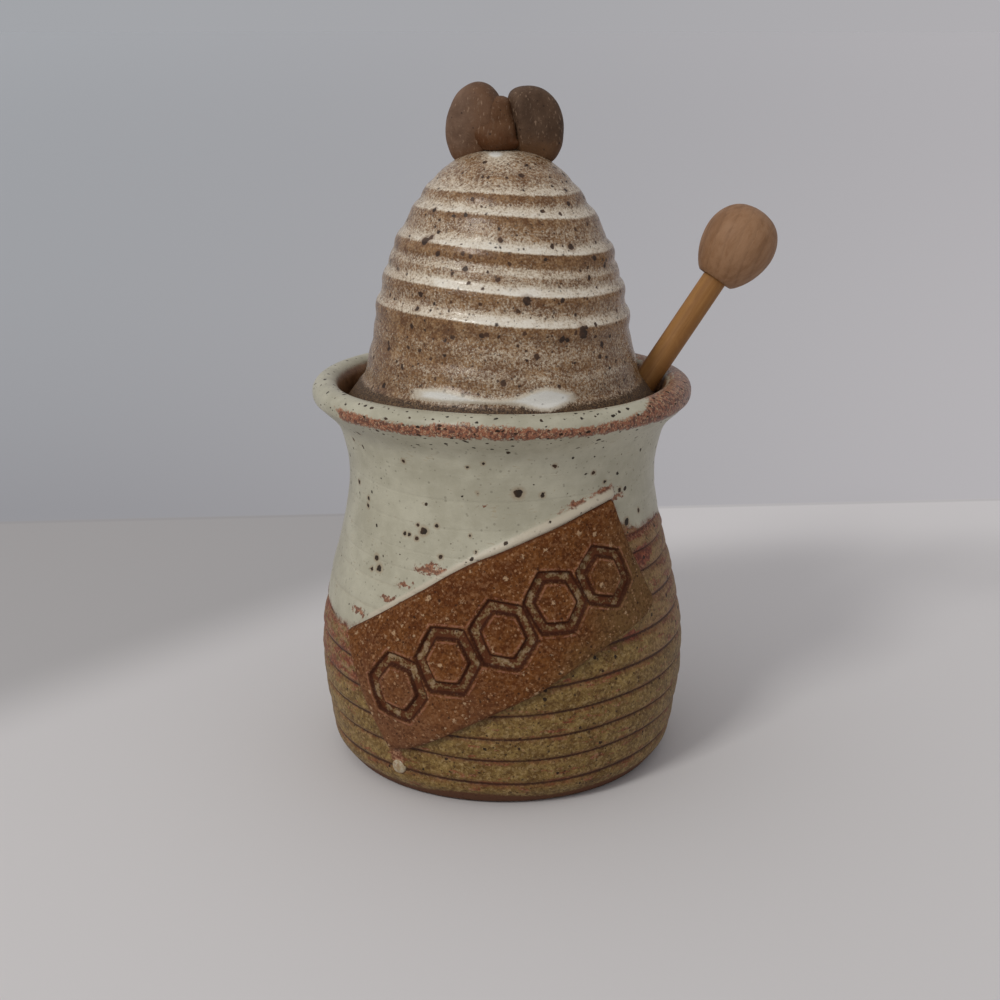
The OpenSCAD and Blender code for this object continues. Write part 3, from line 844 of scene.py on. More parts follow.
LID_SPOTS = [
    (-45, 137, 1.25), (-42.5, 138.0, 0.9), (11, 124.5, 1.15), (36.5, 116, 1.35), (36.5, 117, 1.1), (39, 136, 1.0), (-1, 138.3, 0.85),
    (50.5, 145.3, 0.7), (52, 132.6, 0.9), (61.5, 130.5, 0.8), (18, 152.3, 0.85), (56, 148.3, 0.7), (-56.5, 102, 0.95), (14.5, 111.6, 0.8),
    (0.5, 105.8, 1.0), (-34.5, 134.5, 0.8), (-58, 111, 0.8), (48, 112.7, 0.9), (64, 119.6, 0.8), (-18, 131.7, 0.8), (7, 122.3, 0.7),
    (-41, 121.7, 0.8), (-40, 125, 0.8), (-25, 111.6, 0.7), (-8.5, 116.7, 0.8), (-6.5, 116.9, 0.7), (26, 115.2, 1.0), (28.5, 115, 0.7), (-25, 115, 0.75), (45.5, 128.5, 0.7),
    (-2, 129.5, 0.75), (-45, 114.6, 0.6), (-23, 143.4, 0.7), (-48, 143.8, 0.7), (-21, 146.8, 0.7), (-20, 135, 0.6), (-16, 134.5, 0.6),
    (120, 130, 1.2), (160, 115, 1.0), (-150, 124, 1.1), (-120, 140, 0.9), (100, 108, 0.9), (-100, 112, 0.8), (150, 145, 0.8),
]


def iron_specks(g, p, cell, share, small, large, soft=0.07):
    """Small dark specks of iron: a share of the cells of a cell pattern hold one each, of differing size. All in mm."""
    d, c = g.voronoi(1.0 / cell, p)
    pick = g.xyz(c)
    on = g.step(pick[0], 1 - share, 1 - share + 0.001)
    r = pick[1] * pick[1] * (large - small) + small
    return on * g.step(r - d * cell, -soft, soft)


def grain(g, p, size):
    """An even share from 0 to 1 for each grain of the given size in mm."""
    return g.xyz(g.voronoi(1.0 / size, p)[1])[0]


def mat_pot():
    g = Graph("pot_glaze_over_stoneware")
    p = g.p
    x, y, z = g.xyz(p)
    gl, ins, q, foot, rust, roll = (g.attr(k) for k in ("gl", "ins", "q", "foot", "rust", "roll"))
    n_low, n_mid, n_fine, n_grit = g.noise(0.07, 3), g.noise(0.30, 4, 0.6), g.noise(1.5, 3, 0.6), g.noise(3.4, 2, 0.6)
    n_drag = g.noise(0.42, 4, 0.62, vec=g.vmath("MULTIPLY", p, (0.35, 0.35, 1.5)))
    n_dot = g.noise(1.10, 2, 0.75)
    # height over the glaze line; the line wanders, and follows the throwing ridges
    edge = gl + (n_mid - 0.5) * 4.2 + (n_fine - 0.5) * 2.0 + (n_drag - 0.5) * 3.0
    pale = g.step(edge, -0.30, 0.45)
    near = g.step(g.math("ABSOLUTE", edge + 0.9), 2.9, 0.5)
    # ring phase: 0 on a cut line, rising away from it, in mm
    f = g.math("ABSOLUTE", g.math("FRACT", q + 0.5) - 0.5) * 6.6
    line = g.step(f + (n_fine - 0.5) * 0.55, 0.50, 0.08)
    beside = g.step(f + (n_mid - 0.5) * 1.6, 2.1, 0.4)
    # pale glaze
    cream = g.mix(g.step(n_low + (n_mid - 0.5) * 0.5, 0.3, 0.7), (0.390, 0.368, 0.276), (0.490, 0.468, 0.362))
    cream = g.mix(g.step(n_grit, 0.60, 0.78) * 0.22, cream, (0.33, 0.26, 0.16))
    cream = g.mix(g.step(n_mid + (n_fine - 0.5) * 0.6, 0.68, 0.82) * 0.30, cream, (0.42, 0.33, 0.18))
    low_part = g.step(z, 68.0, 50.0)
    cream = g.mix(line * low_part * 0.08, cream, (0.28, 0.18, 0.09))
    streaks = g.noise(1.1, 3, 0.62, vec=g.vmath("MULTIPLY", p, (0.4, 0.4, 2.2)))
    cream = g.mix(g.step(streaks + (n_mid - 0.5) * 0.7, 0.66, 0.78) * 0.35, cream, (0.250, 0.170, 0.090))
    rolled = g.step(roll + (n_fine - 0.5) * 0.7, -0.1, 0.6)
    cream = g.mix(rolled * 0.80, cream, (0.540, 0.475, 0.370))
    # a thin red break along the roll's upper side
    seam = g.step(g.math("ABSOLUTE", roll + 0.35), 0.75, 0.15) * g.step(n_drag + (n_dot - 0.5) * 0.7, 0.47, 0.60) * g.step(x, 4.0, 22.0)
    cream = g.mix(seam * 0.85, cream, (0.270, 0.085, 0.040))
    # thin glaze below: olive tan, broken to red-brown along the throwing lines
    olive = g.mix(g.step(n_mid + (n_fine - 0.5) * 0.7, 0.30, 0.72), (0.135, 0.070, 0.014), (0.265, 0.172, 0.050))
    olive = g.mix(g.step(n_dot + (n_fine - 0.5) * 0.6, 0.56, 0.68) * 0.66, olive, (0.058, 0.020, 0.003))
    olive = g.mix(g.step(n_dot + (n_grit - 0.5) * 0.5, 0.43, 0.30) * 0.50, olive, (0.440, 0.300, 0.130))
    k = grain(g, p, 0.62)
    olive = g.mix(g.step(k, 0.66, 1.0) * 0.50, olive, (0.060, 0.022, 0.004))
    olive = g.mix(g.step(k, 0.34, 0.0) * 0.36, olive, (0.400, 0.285, 0.135))
    red = g.mix(g.step(n_fine, 0.35, 0.7), (0.110, 0.020, 0.006), (0.255, 0.072, 0.027))
    red = g.mix(g.step(k, 0.66, 1.0) * 0.50, red, (0.075, 0.013, 0.004))
    red = g.mix(g.step(k, 0.30, 0.0) * 0.45, red, (0.400, 0.225, 0.135))
    red = g.mix(g.step(n_dot + (n_fine - 0.5) * 0.6, 0.58, 0.70) * 0.65, red, (0.410, 0.215, 0.125))
    tan = g.mix(n_fine, (0.250, 0.132, 0.050), (0.360, 0.218, 0.104))
    tan = g.mix(g.step(k, 0.62, 1.0) * 0.45, tan, (0.135, 0.058, 0.024))
    # round the right side the thin glaze is paler and breaks to red in bands; on the left it is mottled red
    rightward = g.step(x, 31.0, 40.0) * g.step(z, 30.0, 42.0)
    leftward = g.step(x, -33.0, -38.5) * g.step(z + (n_low - 0.5) * 10.0, 23.0, 29.0)
    high = g.math("MAXIMUM", g.step(z, 40.0, 64.0), rightward)
    olive = g.mix(high * g.step(n_drag + (n_fine - 0.5) * 0.4, 0.56, 0.40) * 0.72, olive, tan)
    olive = g.mix(g.step(n_drag + (n_fine - 0.5) * 0.3 + high * 0.07 + leftward * 0.12, 0.60, 0.66) * 0.85, olive, red)
    olive = g.mix(beside * g.step(n_mid + high * 0.08, 0.46, 0.60) * 0.50, olive, red)
    olive = g.mix(leftward * g.step(n_mid + (n_dot - 0.5) * 0.6 + (n_drag - 0.5) * 0.8, 0.46, 0.54) * 0.85, olive, red)
    olive = g.mix(leftward * g.step(n_drag + (n_fine - 0.5) * 0.5 - (n_mid - 0.5) * 0.5, 0.44, 0.36) * 0.65, olive, (0.285, 0.175, 0.095))
    # two deep red breaks on the right, between the rings
    broke = None
    for c, k in (((35.2, -24.5, 59.8), 3.4), ((31.5, -31.5, 41.8), 2.2)):
        w = g.vmath("ADD", p, g.vmath("SCALE", g.vmath("SUBTRACT", g.noise(0.8, 3, colour=True), (0.5, 0.5, 0.5)), scale=3.0))
        d = g.vmath("DISTANCE", g.vmath("MULTIPLY", w, (1.0, 0.55, 1.5)), (c[0], c[1] * 0.55, c[2] * 1.5)) * (1.0 / k)
        broke = d if broke is None else g.math("MINIMUM", broke, d)
    olive = g.mix(g.step(broke, 1.25, 0.95) * 0.95, olive, g.mix(g.step(n_dot, 0.42, 0.6), (0.105, 0.016, 0.006), (0.260, 0.070, 0.030)))
    olive = g.mix(g.step(f, 1.3, 0.5) * g.step(n_drag, 0.40, 0.60) * 0.45, olive, (0.150, 0.040, 0.014))
    olive = g.mix(line * 0.92, olive, (0.042, 0.010, 0.002))
    col = g.mix(pale, olive, cream)
    col = g.mix(near * g.step(n_fine + (n_drag - 0.5) * 1.0, 0.40, 0.56) * 0.90 * (1 - ins) * (1 - rolled), col, red)
    # red patches where the glaze broke over a ridge, drawn out along it
    warped = g.vmath("ADD", p, g.vmath("SCALE", g.vmath("SUBTRACT", g.noise(0.55, 3, colour=True), (0.5, 0.5, 0.5)), scale=4.2))
    small = g.vmath("ADD", p, g.vmath("SCALE", g.vmath("SUBTRACT", g.noise(0.9, 2, colour=True), (0.5, 0.5, 0.5)), scale=0.9))
    flatten = lambda v: g.vmath("MULTIPLY", v, (0.8, 0.8, 2.4))
    patch = None
    for phi, h, size in RED_PATCHES:
        r = float(wall_r(h))
        c = (0.8 * r * math.sin(math.radians(phi)), -0.8 * r * math.cos(math.radians(phi)), h * 2.4)
        d = g.vmath("DISTANCE", flatten(warped), c) * (1.0 / size)
        patch = d if patch is None else g.math("MINIMUM", patch, d)
    col = g.mix(g.step(patch + (n_fine - 0.5) * 1.6 + (n_dot - 0.5) * 1.6 + (n_drag - 0.5) * 0.8, 1.05, 0.60) * 0.88 * (1 - rolled), col,
                g.mix(g.step(n_fine, 0.40, 0.62), (0.120, 0.026, 0.008), (0.330, 0.120, 0.052)))
    # rust on the rim, mottled
    rusty = g.step(rust + (n_fine - 0.5) * 2.0 + (n_mid - 0.5) * 2.0 + (n_dot - 0.5) * 1.6, -0.2, 0.4)
    rustc = g.mix(g.step(n_dot + (n_fine - 0.5) * 0.5, 0.40, 0.58), (0.082, 0.014, 0.005), (0.290, 0.092, 0.040))
    rustc = g.mix(g.step(n_fine + (n_grit - 0.5) * 0.6 + (z - 96.5) * 0.012, 0.56, 0.66) * 0.80, rustc, (0.450, 0.315, 0.190))
    rustc = g.mix(g.step(z + (n_mid - 0.5) * 0.8, 96.0, 95.4) * 0.75, rustc, (0.105, 0.016, 0.005))
    col = g.mix(rusty * 0.92, col, rustc)
    # inside: brown in the gallery, tan glaze below
    inner = g.mix(g.step(n_mid + (n_fine - 0.5) * 0.6, 0.3, 0.7), (0.150, 0.066, 0.026), (0.300, 0.160, 0.080))
    inner = g.mix(g.step(n_grit + (n_fine - 0.5) * 0.6, 0.54, 0.70) * 0.6, inner, (0.080, 0.032, 0.012))
    inner = g.mix(g.step(z, 86.0, 80.0) * 0.70, inner, (0.30, 0.23, 0.13))
    col = g.mix(g.step(ins + (n_fine - 0.5) * 0.25, 0.45, 0.75), col, inner)
    # bare foot
    bare = g.step(foot + (n_fine - 0.5) * 1.5, 0.6, -0.4)
    col = g.mix(bare, col, g.mix(n_fine, (0.080, 0.030, 0.013), (0.160, 0.068, 0.032)))
    # iron spots
    big = g.spots(POT_SPOTS, lambda h: float(wall_r(h)), small)
    speck = iron_specks(g, small, 2.9, 0.75, 0.10, 0.60)
    tiny = iron_specks(g, p, 1.20, 0.85, 0.08, 0.34, 0.08)
    tiny = tiny * g.mixf(pale, 1.0, 0.40)
    lying = g.vmath("MULTIPLY", g.vmath("ADD", small, (7.3, 2.1, 5.7)), (1.0, 1.0, 1.9))
    edge_specks = iron_specks(g, lying, 2.1, 0.95, 0.18, 0.62) * g.step(z, 89.5, 93.0) * (1 - ins)
    dots = g.math("MAXIMUM", g.step(big + (n_fine - 0.5) * 0.45, 1.0, 0.78), g.math("MAXIMUM", speck, g.math("MAXIMUM", tiny * 0.75, edge_specks)))
    dots = dots * (1 - bare * 0.5)
    halo = g.step(big, 2.0, 0.9) * 0.40
    col = g.mix(halo, col, (0.25, 0.14, 0.06))
    col = g.mix(dots * 0.97, col, g.mix(g.step(n_mid, 0.42, 0.62), (0.012, 0.005, 0.001), (0.042, 0.016, 0.004)))
    # the red smear between the label's lower corner and the drop
    smear = g.vmath("DISTANCE", g.vmath("MULTIPLY", warped, (1.0, 1.0, 0.7)), (-26.4, -38.2, 11.2 * 0.7)) + (n_dot - 0.5) * 2.4
    col = g.mix(g.step(smear, 2.6, 1.7) * 0.85, col, g.mix(g.step(n_dot, 0.42, 0.58), (0.120, 0.026, 0.010), (0.380, 0.190, 0.110)))
    rough = g.mixf(pale, n_fine * 0.16 + 0.44, n_fine * 0.12 + 0.30)
    rough = g.mixf(dots, rough, 0.6)
    rough = g.mixf(bare, rough, 0.85)
    g.bump(line * (pale * 0.7 - 1) * 0.20 + n_mid * 0.14 + n_fine * 0.08 + n_grit * 0.04 + pale * 0.20 + dots * -0.05, 0.8)
    return g.finish(col, rough, 0.30)


def mat_label():
    g = Graph("label_bare_clay")
    p = g.p
    stroke, edge, lu, lv = (g.attr(k) for k in ("stroke", "edge", "lu", "lv"))
    n_low, n_mid, n_fine, n_grit = g.noise(0.10, 3), g.noise(0.42, 3, 0.6), g.noise(1.7, 3, 0.6), g.noise(4.5, 2, 0.6)
    clay = g.mix(g.step(n_mid + (n_low - 0.5) * 0.8, 0.3, 0.7), (0.100, 0.027, 0.004), (0.168, 0.058, 0.012))
    n_dot = g.noise(1.25, 2, 0.75)
    clay = g.mix(g.step(n_dot + (n_fine - 0.5) * 0.5, 0.54, 0.68) * 0.62, clay, (0.062, 0.016, 0.002))
    clay = g.mix(g.step(n_dot + (n_fine - 0.5) * 0.7, 0.44, 0.32) * 0.42, clay, (0.300, 0.150, 0.068))
    clay = g.mix(g.step(lu + (n_low - 0.5) * 30.0 + lv * 1.3, 52.0, 8.0) * 0.60, clay, (0.185, 0.084, 0.042))
    clay = g.mix(g.step(lu * 0.7 - lv + (n_low - 0.5) * 22.0, 26.0, 46.0) * 0.60, clay, (0.150, 0.096, 0.036))
    k = grain(g, p, 0.60)
    clay = g.mix(g.step(k, 0.62, 1.0) * 0.50, clay, (0.052, 0.014, 0.002))
    clay = g.mix(g.step(k, 0.36, 0.0) * 0.34, clay, (0.290, 0.150, 0.072))
    # pale grog
    w = g.vmath("ADD", p, g.vmath("SCALE", g.vmath("SUBTRACT", g.noise(1.6, 2, colour=True), (0.5, 0.5, 0.5)), scale=0.7))
    w2 = g.vmath("ADD", p, g.vmath("SCALE", g.vmath("SUBTRACT", g.noise(1.9, 3, colour=True), (0.5, 0.5, 0.5)), scale=1.6))
    grog = iron_specks(g, w2, 2.1, 0.70, 0.14, 0.66, 0.14)
    grog2 = iron_specks(g, g.vmath("ADD", w, (3.1, 8.7, 1.9)), 1.0, 0.80, 0.10, 0.32, 0.09)
    dark = iron_specks(g, g.vmath("ADD", w, (5.1, 2.7, 6.9)), 1.3, 0.65, 0.10, 0.34, 0.09)
    clay = g.mix(grog * 0.75, clay, (0.50, 0.33, 0.19))
    clay = g.mix(grog2 * 0.65, clay, (0.40, 0.23, 0.12))
    clay = g.mix(dark * 0.80, clay, (0.030, 0.011, 0.005))
    # stamped rings: dark red-brown walls, with thin olive glaze lying in them and painted highlights as pale patches on
    # it
    inside = g.step(stroke + (n_fine - 0.5) * 0.25, 1.25, 0.85)
    wall = g.step(g.math("ABSOLUTE", stroke - 1.15), 0.55, 0.12)
    lying = g.step(n_mid + (n_fine - 0.5) * 0.6 - stroke * 0.16, 0.38, 0.50)
    film = g.mix(g.step(n_fine + (n_mid - 0.5) * 0.8, 0.35, 0.65), (0.112, 0.052, 0.016), (0.215, 0.132, 0.056))
    # pale patches on the glaze film: painted highlights
    film = g.mix(g.step(n_dot + (n_mid - 0.5) * 1.4, 0.60, 0.70) * 0.50, film, (0.38, 0.27, 0.17))
    film = g.mix(iron_specks(g, g.vmath("ADD", p, (1.7, 3.3, 2.9)), 1.0, 0.7, 0.08, 0.24, 0.08) * 0.85, film, (0.030, 0.012, 0.004))
    recess = g.mix(lying, (0.100, 0.030, 0.010), film)
    col = g.mix(inside, clay, recess)
    col = g.mix(wall * (g.step(n_fine + (n_grit - 0.5) * 0.7, 0.30, 0.46) * 0.45 + 0.45), col, (0.040, 0.009, 0.003))
    # the lip pushed up on both sides of the line, with a pinkish painted highlight along it
    lip = g.step(g.math("ABSOLUTE", stroke - 1.85), 0.34, 0.06) * g.step(n_fine + (n_mid - 0.5) * 0.8, 0.42, 0.58)
    col = g.mix(lip * 0.60, col, (0.330, 0.145, 0.088))
    # dark red-brown line round the edge, where the slab meets the pot
    rim = g.step(edge + (n_fine - 0.5) * 0.5, 0.8, 0.15)
    col = g.mix(rim * 0.70, col, (0.070, 0.020, 0.008))
    gloss = inside * lying
    rough = g.mixf(gloss, 0.80, 0.30)
    g.bump(n_mid * 0.14 + n_fine * 0.18 + n_grit * 0.12 + grog * 0.10, 1.0)
    return g.finish(col, rough, 0.18)


def mat_lid():
    g = Graph("lid_speckled_glaze")
    p = g.p
    x, y, z = g.xyz(p)
    # wh: share of white glaze, partly a painted highlight on the shoulders and toward the front
    ins, white, roll, pool = (g.attr(k) for k in ("ins", "wh", "roll", "pool"))
    n_low, n_mid, n_fine, n_grit = g.noise(0.08, 3), g.noise(0.32, 3, 0.6), g.noise(1.8, 3, 0.65), g.noise(3.4, 2, 0.6)
    n_side = g.noise(0.05, 2, vec=g.vmath("MULTIPLY", p, (1.0, 1.0, 0.25)))
    n_drag = g.noise(0.30, 3, 0.6, vec=g.vmath("MULTIPLY", p, (0.4, 0.4, 1.0)))
    n_dot = g.noise(1.15, 2, 0.7)
    white = white + (n_low - 0.5) * 0.36 + (n_side - 0.5) * 0.24 + (n_drag - 0.5) * 0.40
    white = white + g.step(pool, -4.5, 0.2) * 0.30
    mottled = white + (n_fine - 0.5) * 1.25 + (n_grit - 0.5) * 1.05 + (n_dot - 0.5) * 0.7
    cover = g.step(mottled, 0.22, 0.98)
    brown = g.mix(g.step(n_mid + (n_fine - 0.5) * 0.8, 0.3, 0.7), (0.142, 0.062, 0.020), (0.288, 0.160, 0.066))
    brown = g.mix(g.step(n_grit, 0.50, 0.66) * 0.60, brown, (0.064, 0.024, 0.007))
    cream = g.mix(n_mid, (0.600, 0.505, 0.370), (0.740, 0.665, 0.540))
    k = grain(g, p, 0.50)
    brown = g.mix(g.step(k, 0.32, 0.0) * 0.40, brown, (0.420, 0.290, 0.165))
    brown = g.mix(g.step(k, 0.72, 1.0) * 0.40, brown, (0.070, 0.027, 0.008))
    cream = g.mix(g.step(k, 0.70, 1.0) * 0.35, cream, (0.340, 0.225, 0.125))
    col = g.mix(cover, brown, cream)
    # the whitest tone along the band tops: thick white glaze brightened by a painted highlight on the ridge tops
    col = g.mix(g.step(white + (n_fine - 0.5) * 0.5, 0.72, 1.15) * 0.80, col, (0.850, 0.825, 0.745))
    # the white roll above the brim and the pool in front of the bee
    thick = g.math("MAXIMUM", g.step(roll + (n_fine - 0.5) * 1.3 + (n_grit - 0.5) * 0.9, 0.0, 1.0), g.step(pool + (n_fine - 0.5) * 1.0 + (n_grit - 0.5) * 0.6, -0.4, 0.6))
    full = g.math("MAXIMUM", g.step(roll + (n_fine - 0.5) * 0.6, 0.9, 1.8), g.step(pool, 0.2, 1.2))
    col = g.mix(thick * 0.95, col, g.mix(full, (0.600, 0.535, 0.425), (0.790, 0.785, 0.730)))
    # spots
    small = g.vmath("ADD", p, g.vmath("SCALE", g.vmath("SUBTRACT", g.noise(0.9, 2, colour=True), (0.5, 0.5, 0.5)), scale=1.0))
    big = g.spots(LID_SPOTS, lambda v: float(lid_r(v)) + 0.3, small)
    speck = iron_specks(g, small, 2.1, 0.85, 0.14, 0.62, 0.12)
    tiny = iron_specks(g, small, 1.05, 0.85, 0.10, 0.30, 0.10)
    dots = g.math("MAXIMUM", g.step(big + (n_fine - 0.5) * 0.45, 1.0, 0.78), g.math("MAXIMUM", speck * (1 - thick * 0.6), tiny * (1 - thick) * 0.75))
    halo = g.step(big, 2.0, 0.9) * 0.50
    col = g.mix(halo, col, (0.17, 0.080, 0.030))
    col = g.mix(dots * 0.96, col, g.mix(g.step(n_mid, 0.40, 0.62), (0.020, 0.007, 0.001), (0.062, 0.024, 0.007)))
    # bare brown clay on the brim, the collar and inside; its darkest tones are painted shade where the brim sits down
    # in the pot's gallery
    bare = g.step(z + (n_fine - 0.5) * 1.6 + (n_grit - 0.5) * 1.6, 100.6, 99.5)
    inner = g.step(ins, 0.25, 0.6)
    clay = g.mix(g.step(n_grit + (n_fine - 0.5) * 0.8, 0.34, 0.62), (0.026, 0.012, 0.004), (0.118, 0.064, 0.026))
    clay = g.mix(g.step(n_fine + (n_grit - 0.5) * 0.9, 0.60, 0.72) * 0.55, clay, (0.260, 0.180, 0.095))
    clay = g.mix(tiny * 0.8, clay, (0.014, 0.006, 0.002))
    bare = bare * (1 - thick)
    col = g.mix(g.math("MAXIMUM", bare, inner), col, clay)
    rough = g.mixf(cover, n_fine * 0.14 + 0.20, n_fine * 0.06 + 0.12)
    rough = g.mixf(dots, rough, 0.50)
    rough = g.mixf(g.math("MAXIMUM", bare, inner), rough, 0.62)
    g.bump(n_mid * 0.14 + n_fine * 0.05 + n_grit * 0.02 + cover * 0.04 + dots * -0.04, 0.8)
    return g.finish(col, rough, 0.42)


def mat_knob(name, dark, light, warm, level, merge=None):
    g = Graph(name)
    p = g.p
    x, y, z = g.xyz(p)
    n_low, n_mid, n_fine, n_grit = g.noise(0.14, 3), g.noise(0.5, 3, 0.6), g.noise(1.9, 3, 0.6), g.noise(4.0, 2, 0.6)
    col = g.mix(g.step(n_low + (n_mid - 0.5) * 0.45, 0.3, 0.7), dark, light)
    if merge:
        # towards the bee's body the clay takes on its redder tone
        col = g.mix(g.step(x + (n_mid - 0.5) * 3.0, -10.0, -5.0) * 0.85, col, g.mix(n_mid, *merge))
    # fine pale streaks, drawn down
    tall = g.vmath("MULTIPLY", g.vmath("ADD", p, g.vmath("SCALE", g.noise(0.8, 2, colour=True), scale=1.2)), (1.0, 1.0, 0.30))
    fleck = iron_specks(g, tall, 0.72, 0.85, 0.05, 0.22, 0.10)
    col = g.mix(fleck * 0.60, col, (0.33, 0.22, 0.145))
    streak = g.noise(1.1, 3, 0.6, vec=tall)
    col = g.mix(g.step(streak + (n_fine - 0.5) * 0.4, 0.58, 0.74) * 0.30, col, (0.25, 0.175, 0.120))
    col = g.mix(g.step(z + (n_mid - 0.5) * 6.0 + x * 0.0, level + 2.5, level - 2.5) * 0.70, col, warm)
    dots = iron_specks(g, p, 1.3, 0.6, 0.08, 0.30, 0.08)
    col = g.mix(dots * 0.75, col, (0.022, 0.010, 0.006))
    g.bump(n_mid * 0.16 + n_fine * 0.14 + n_grit * 0.08 + streak * 0.10 + fleck * 0.06, 0.9)
    return g.finish(col, n_fine * 0.2 + 0.55, 0.22)


def mat_wood(name, light, dark, grain, knot=None, stain=0.0, arcs=0.0):
    g = Graph(name)
    t = lean_matrix().to_3x3().inverted()
    # coordinates across and along the dowel
    off = g.vmath("SUBTRACT", g.p, tuple(LEAN_AT))
    rows = [g.vmath("DOT_PRODUCT", off, tuple(t[i])) for i in range(3)]
    a = g.vec(rows[0], rows[1], rows[2] * grain)
    n_low = g.noise(0.11, 3, 0.6, vec=a)
    n_grain = g.noise(0.85, 4, 0.62, vec=a, dist=0.3)
    n_pore = g.noise(3.4, 2, 0.6, vec=a)
    n_mid, n_fine = g.noise(0.35, 3), g.noise(2.2, 3, 0.6)
    col = g.mix(g.step(n_grain + (n_low - 0.5) * 0.9, 0.28, 0.76), light, dark)
    col = g.mix(g.step(n_low, 0.45, 0.68) * 0.30, col, tuple(c * 0.78 for c in dark))
    col = g.mix(g.step(n_pore, 0.62, 0.76) * 0.30, col, tuple(c * 0.52 for c in dark))
    col = g.mix(g.step(n_mid, 0.52, 0.70) * 0.22, col, tuple(min(1, c * 1.18) for c in light))
    height = n_grain * 0.08 + n_pore * 0.05 + n_fine * 0.04
    if arcs:
        # growth rings cut across by the turning: wide shells about an axis far to one side
        bend = g.vec(rows[0] + 22.0, rows[1] * 0.8 - 9.0, rows[2] * 0.32)
        d = g.vmath("LENGTH", bend) + (n_mid - 0.5) * 1.1 + (n_fine - 0.5) * 0.25
        ring = g.math("FRACT", d * arcs)
        late = g.step(ring, 0.62, 0.94) * g.step(ring, 1.0, 0.96)
        col = g.mix(late * (n_low * 0.9) * 0.40, col, tuple(c * 0.50 for c in dark))
        height = height - late * 0.05
    if stain:
        col = g.mix(g.step(rows[2] + (n_mid - 0.5) * 12.0, -22.0, -40.0) * stain, col, (0.24, 0.11, 0.028))
    if knot:
        w = g.vmath("ADD", g.p, g.vmath("SCALE", g.vmath("SUBTRACT", g.noise(0.9, 2, colour=True), (0.5, 0.5, 0.5)), scale=0.9))
        d = g.vmath("DISTANCE", g.vmath("MULTIPLY", w, (1.25, 1.0, 0.85)), (knot[0] * 1.25, knot[1], knot[2] * 0.85))
        ring = g.step(g.math("ABSOLUTE", d - 1.15), 0.40, 0.10)
        ring2 = g.step(g.math("ABSOLUTE", d - 2.1), 0.45, 0.15) * 0.4
        core = g.step(d, 1.0, 0.5)
        col = g.mix(g.math("MAXIMUM", g.math("MAXIMUM", ring * 0.72, ring2), core * 0.40), col, tuple(c * 0.40 for c in dark))
        height = height - ring * 0.10
    g.bump(height, 0.8)
    return g.finish(col, n_grain * 0.14 + 0.50, 0.25)


# ------------------------------------------------------------------ small glaze details
def build_bead(material):
    """A drop of pale glaze that ran down beside the label's lower corner."""
    phi, z = math.radians(-34.5), 8.4
    r = float(wall_r(z)) - 0.5
    c = (r * math.sin(phi), -r * math.cos(phi), z)
    ob = blob("glaze_bead", c, (2.1, 1.15, 2.05), (0, 0, -34.5), 55, 0.09, material, "pot", (), nu=40, nv=26)
    return ob


def mat_bead():
    g = Graph("glaze_drop")
    n = g.noise(0.9, 3)
    col = g.mix(g.step(n, 0.35, 0.65), (0.330, 0.240, 0.130), (0.470, 0.410, 0.290))
    col = g.mix(g.step(g.noise(1.6, 3), 0.54, 0.66) * 0.6, col, (0.230, 0.095, 0.045))
    g.bump(n * 0.15, 0.6)
    return g.finish(col, n * 0.1 + 0.26)


# ------------------------------------------------------------------ stage
FLOOR = (0.668, 0.654, 0.652)
# the painted wall's tones, low and high on each side: painted light, darkest low on the left and palest high on the
# right
WALL_LEFT, WALL_RIGHT = ((0.409, 0.418, 0.445), (0.700, 0.744, 0.775)), ((0.715, 0.703, 0.722), (0.882, 0.870, 0.886))
HORIZON = (0.362, 0.373, 0.395), (0.380, 0.380, 0.398), (0.437, 0.425, 0.441)
WORLD_LOW, WORLD_HIGH, KEY_POWER = 0.395, 0.555, 7.2


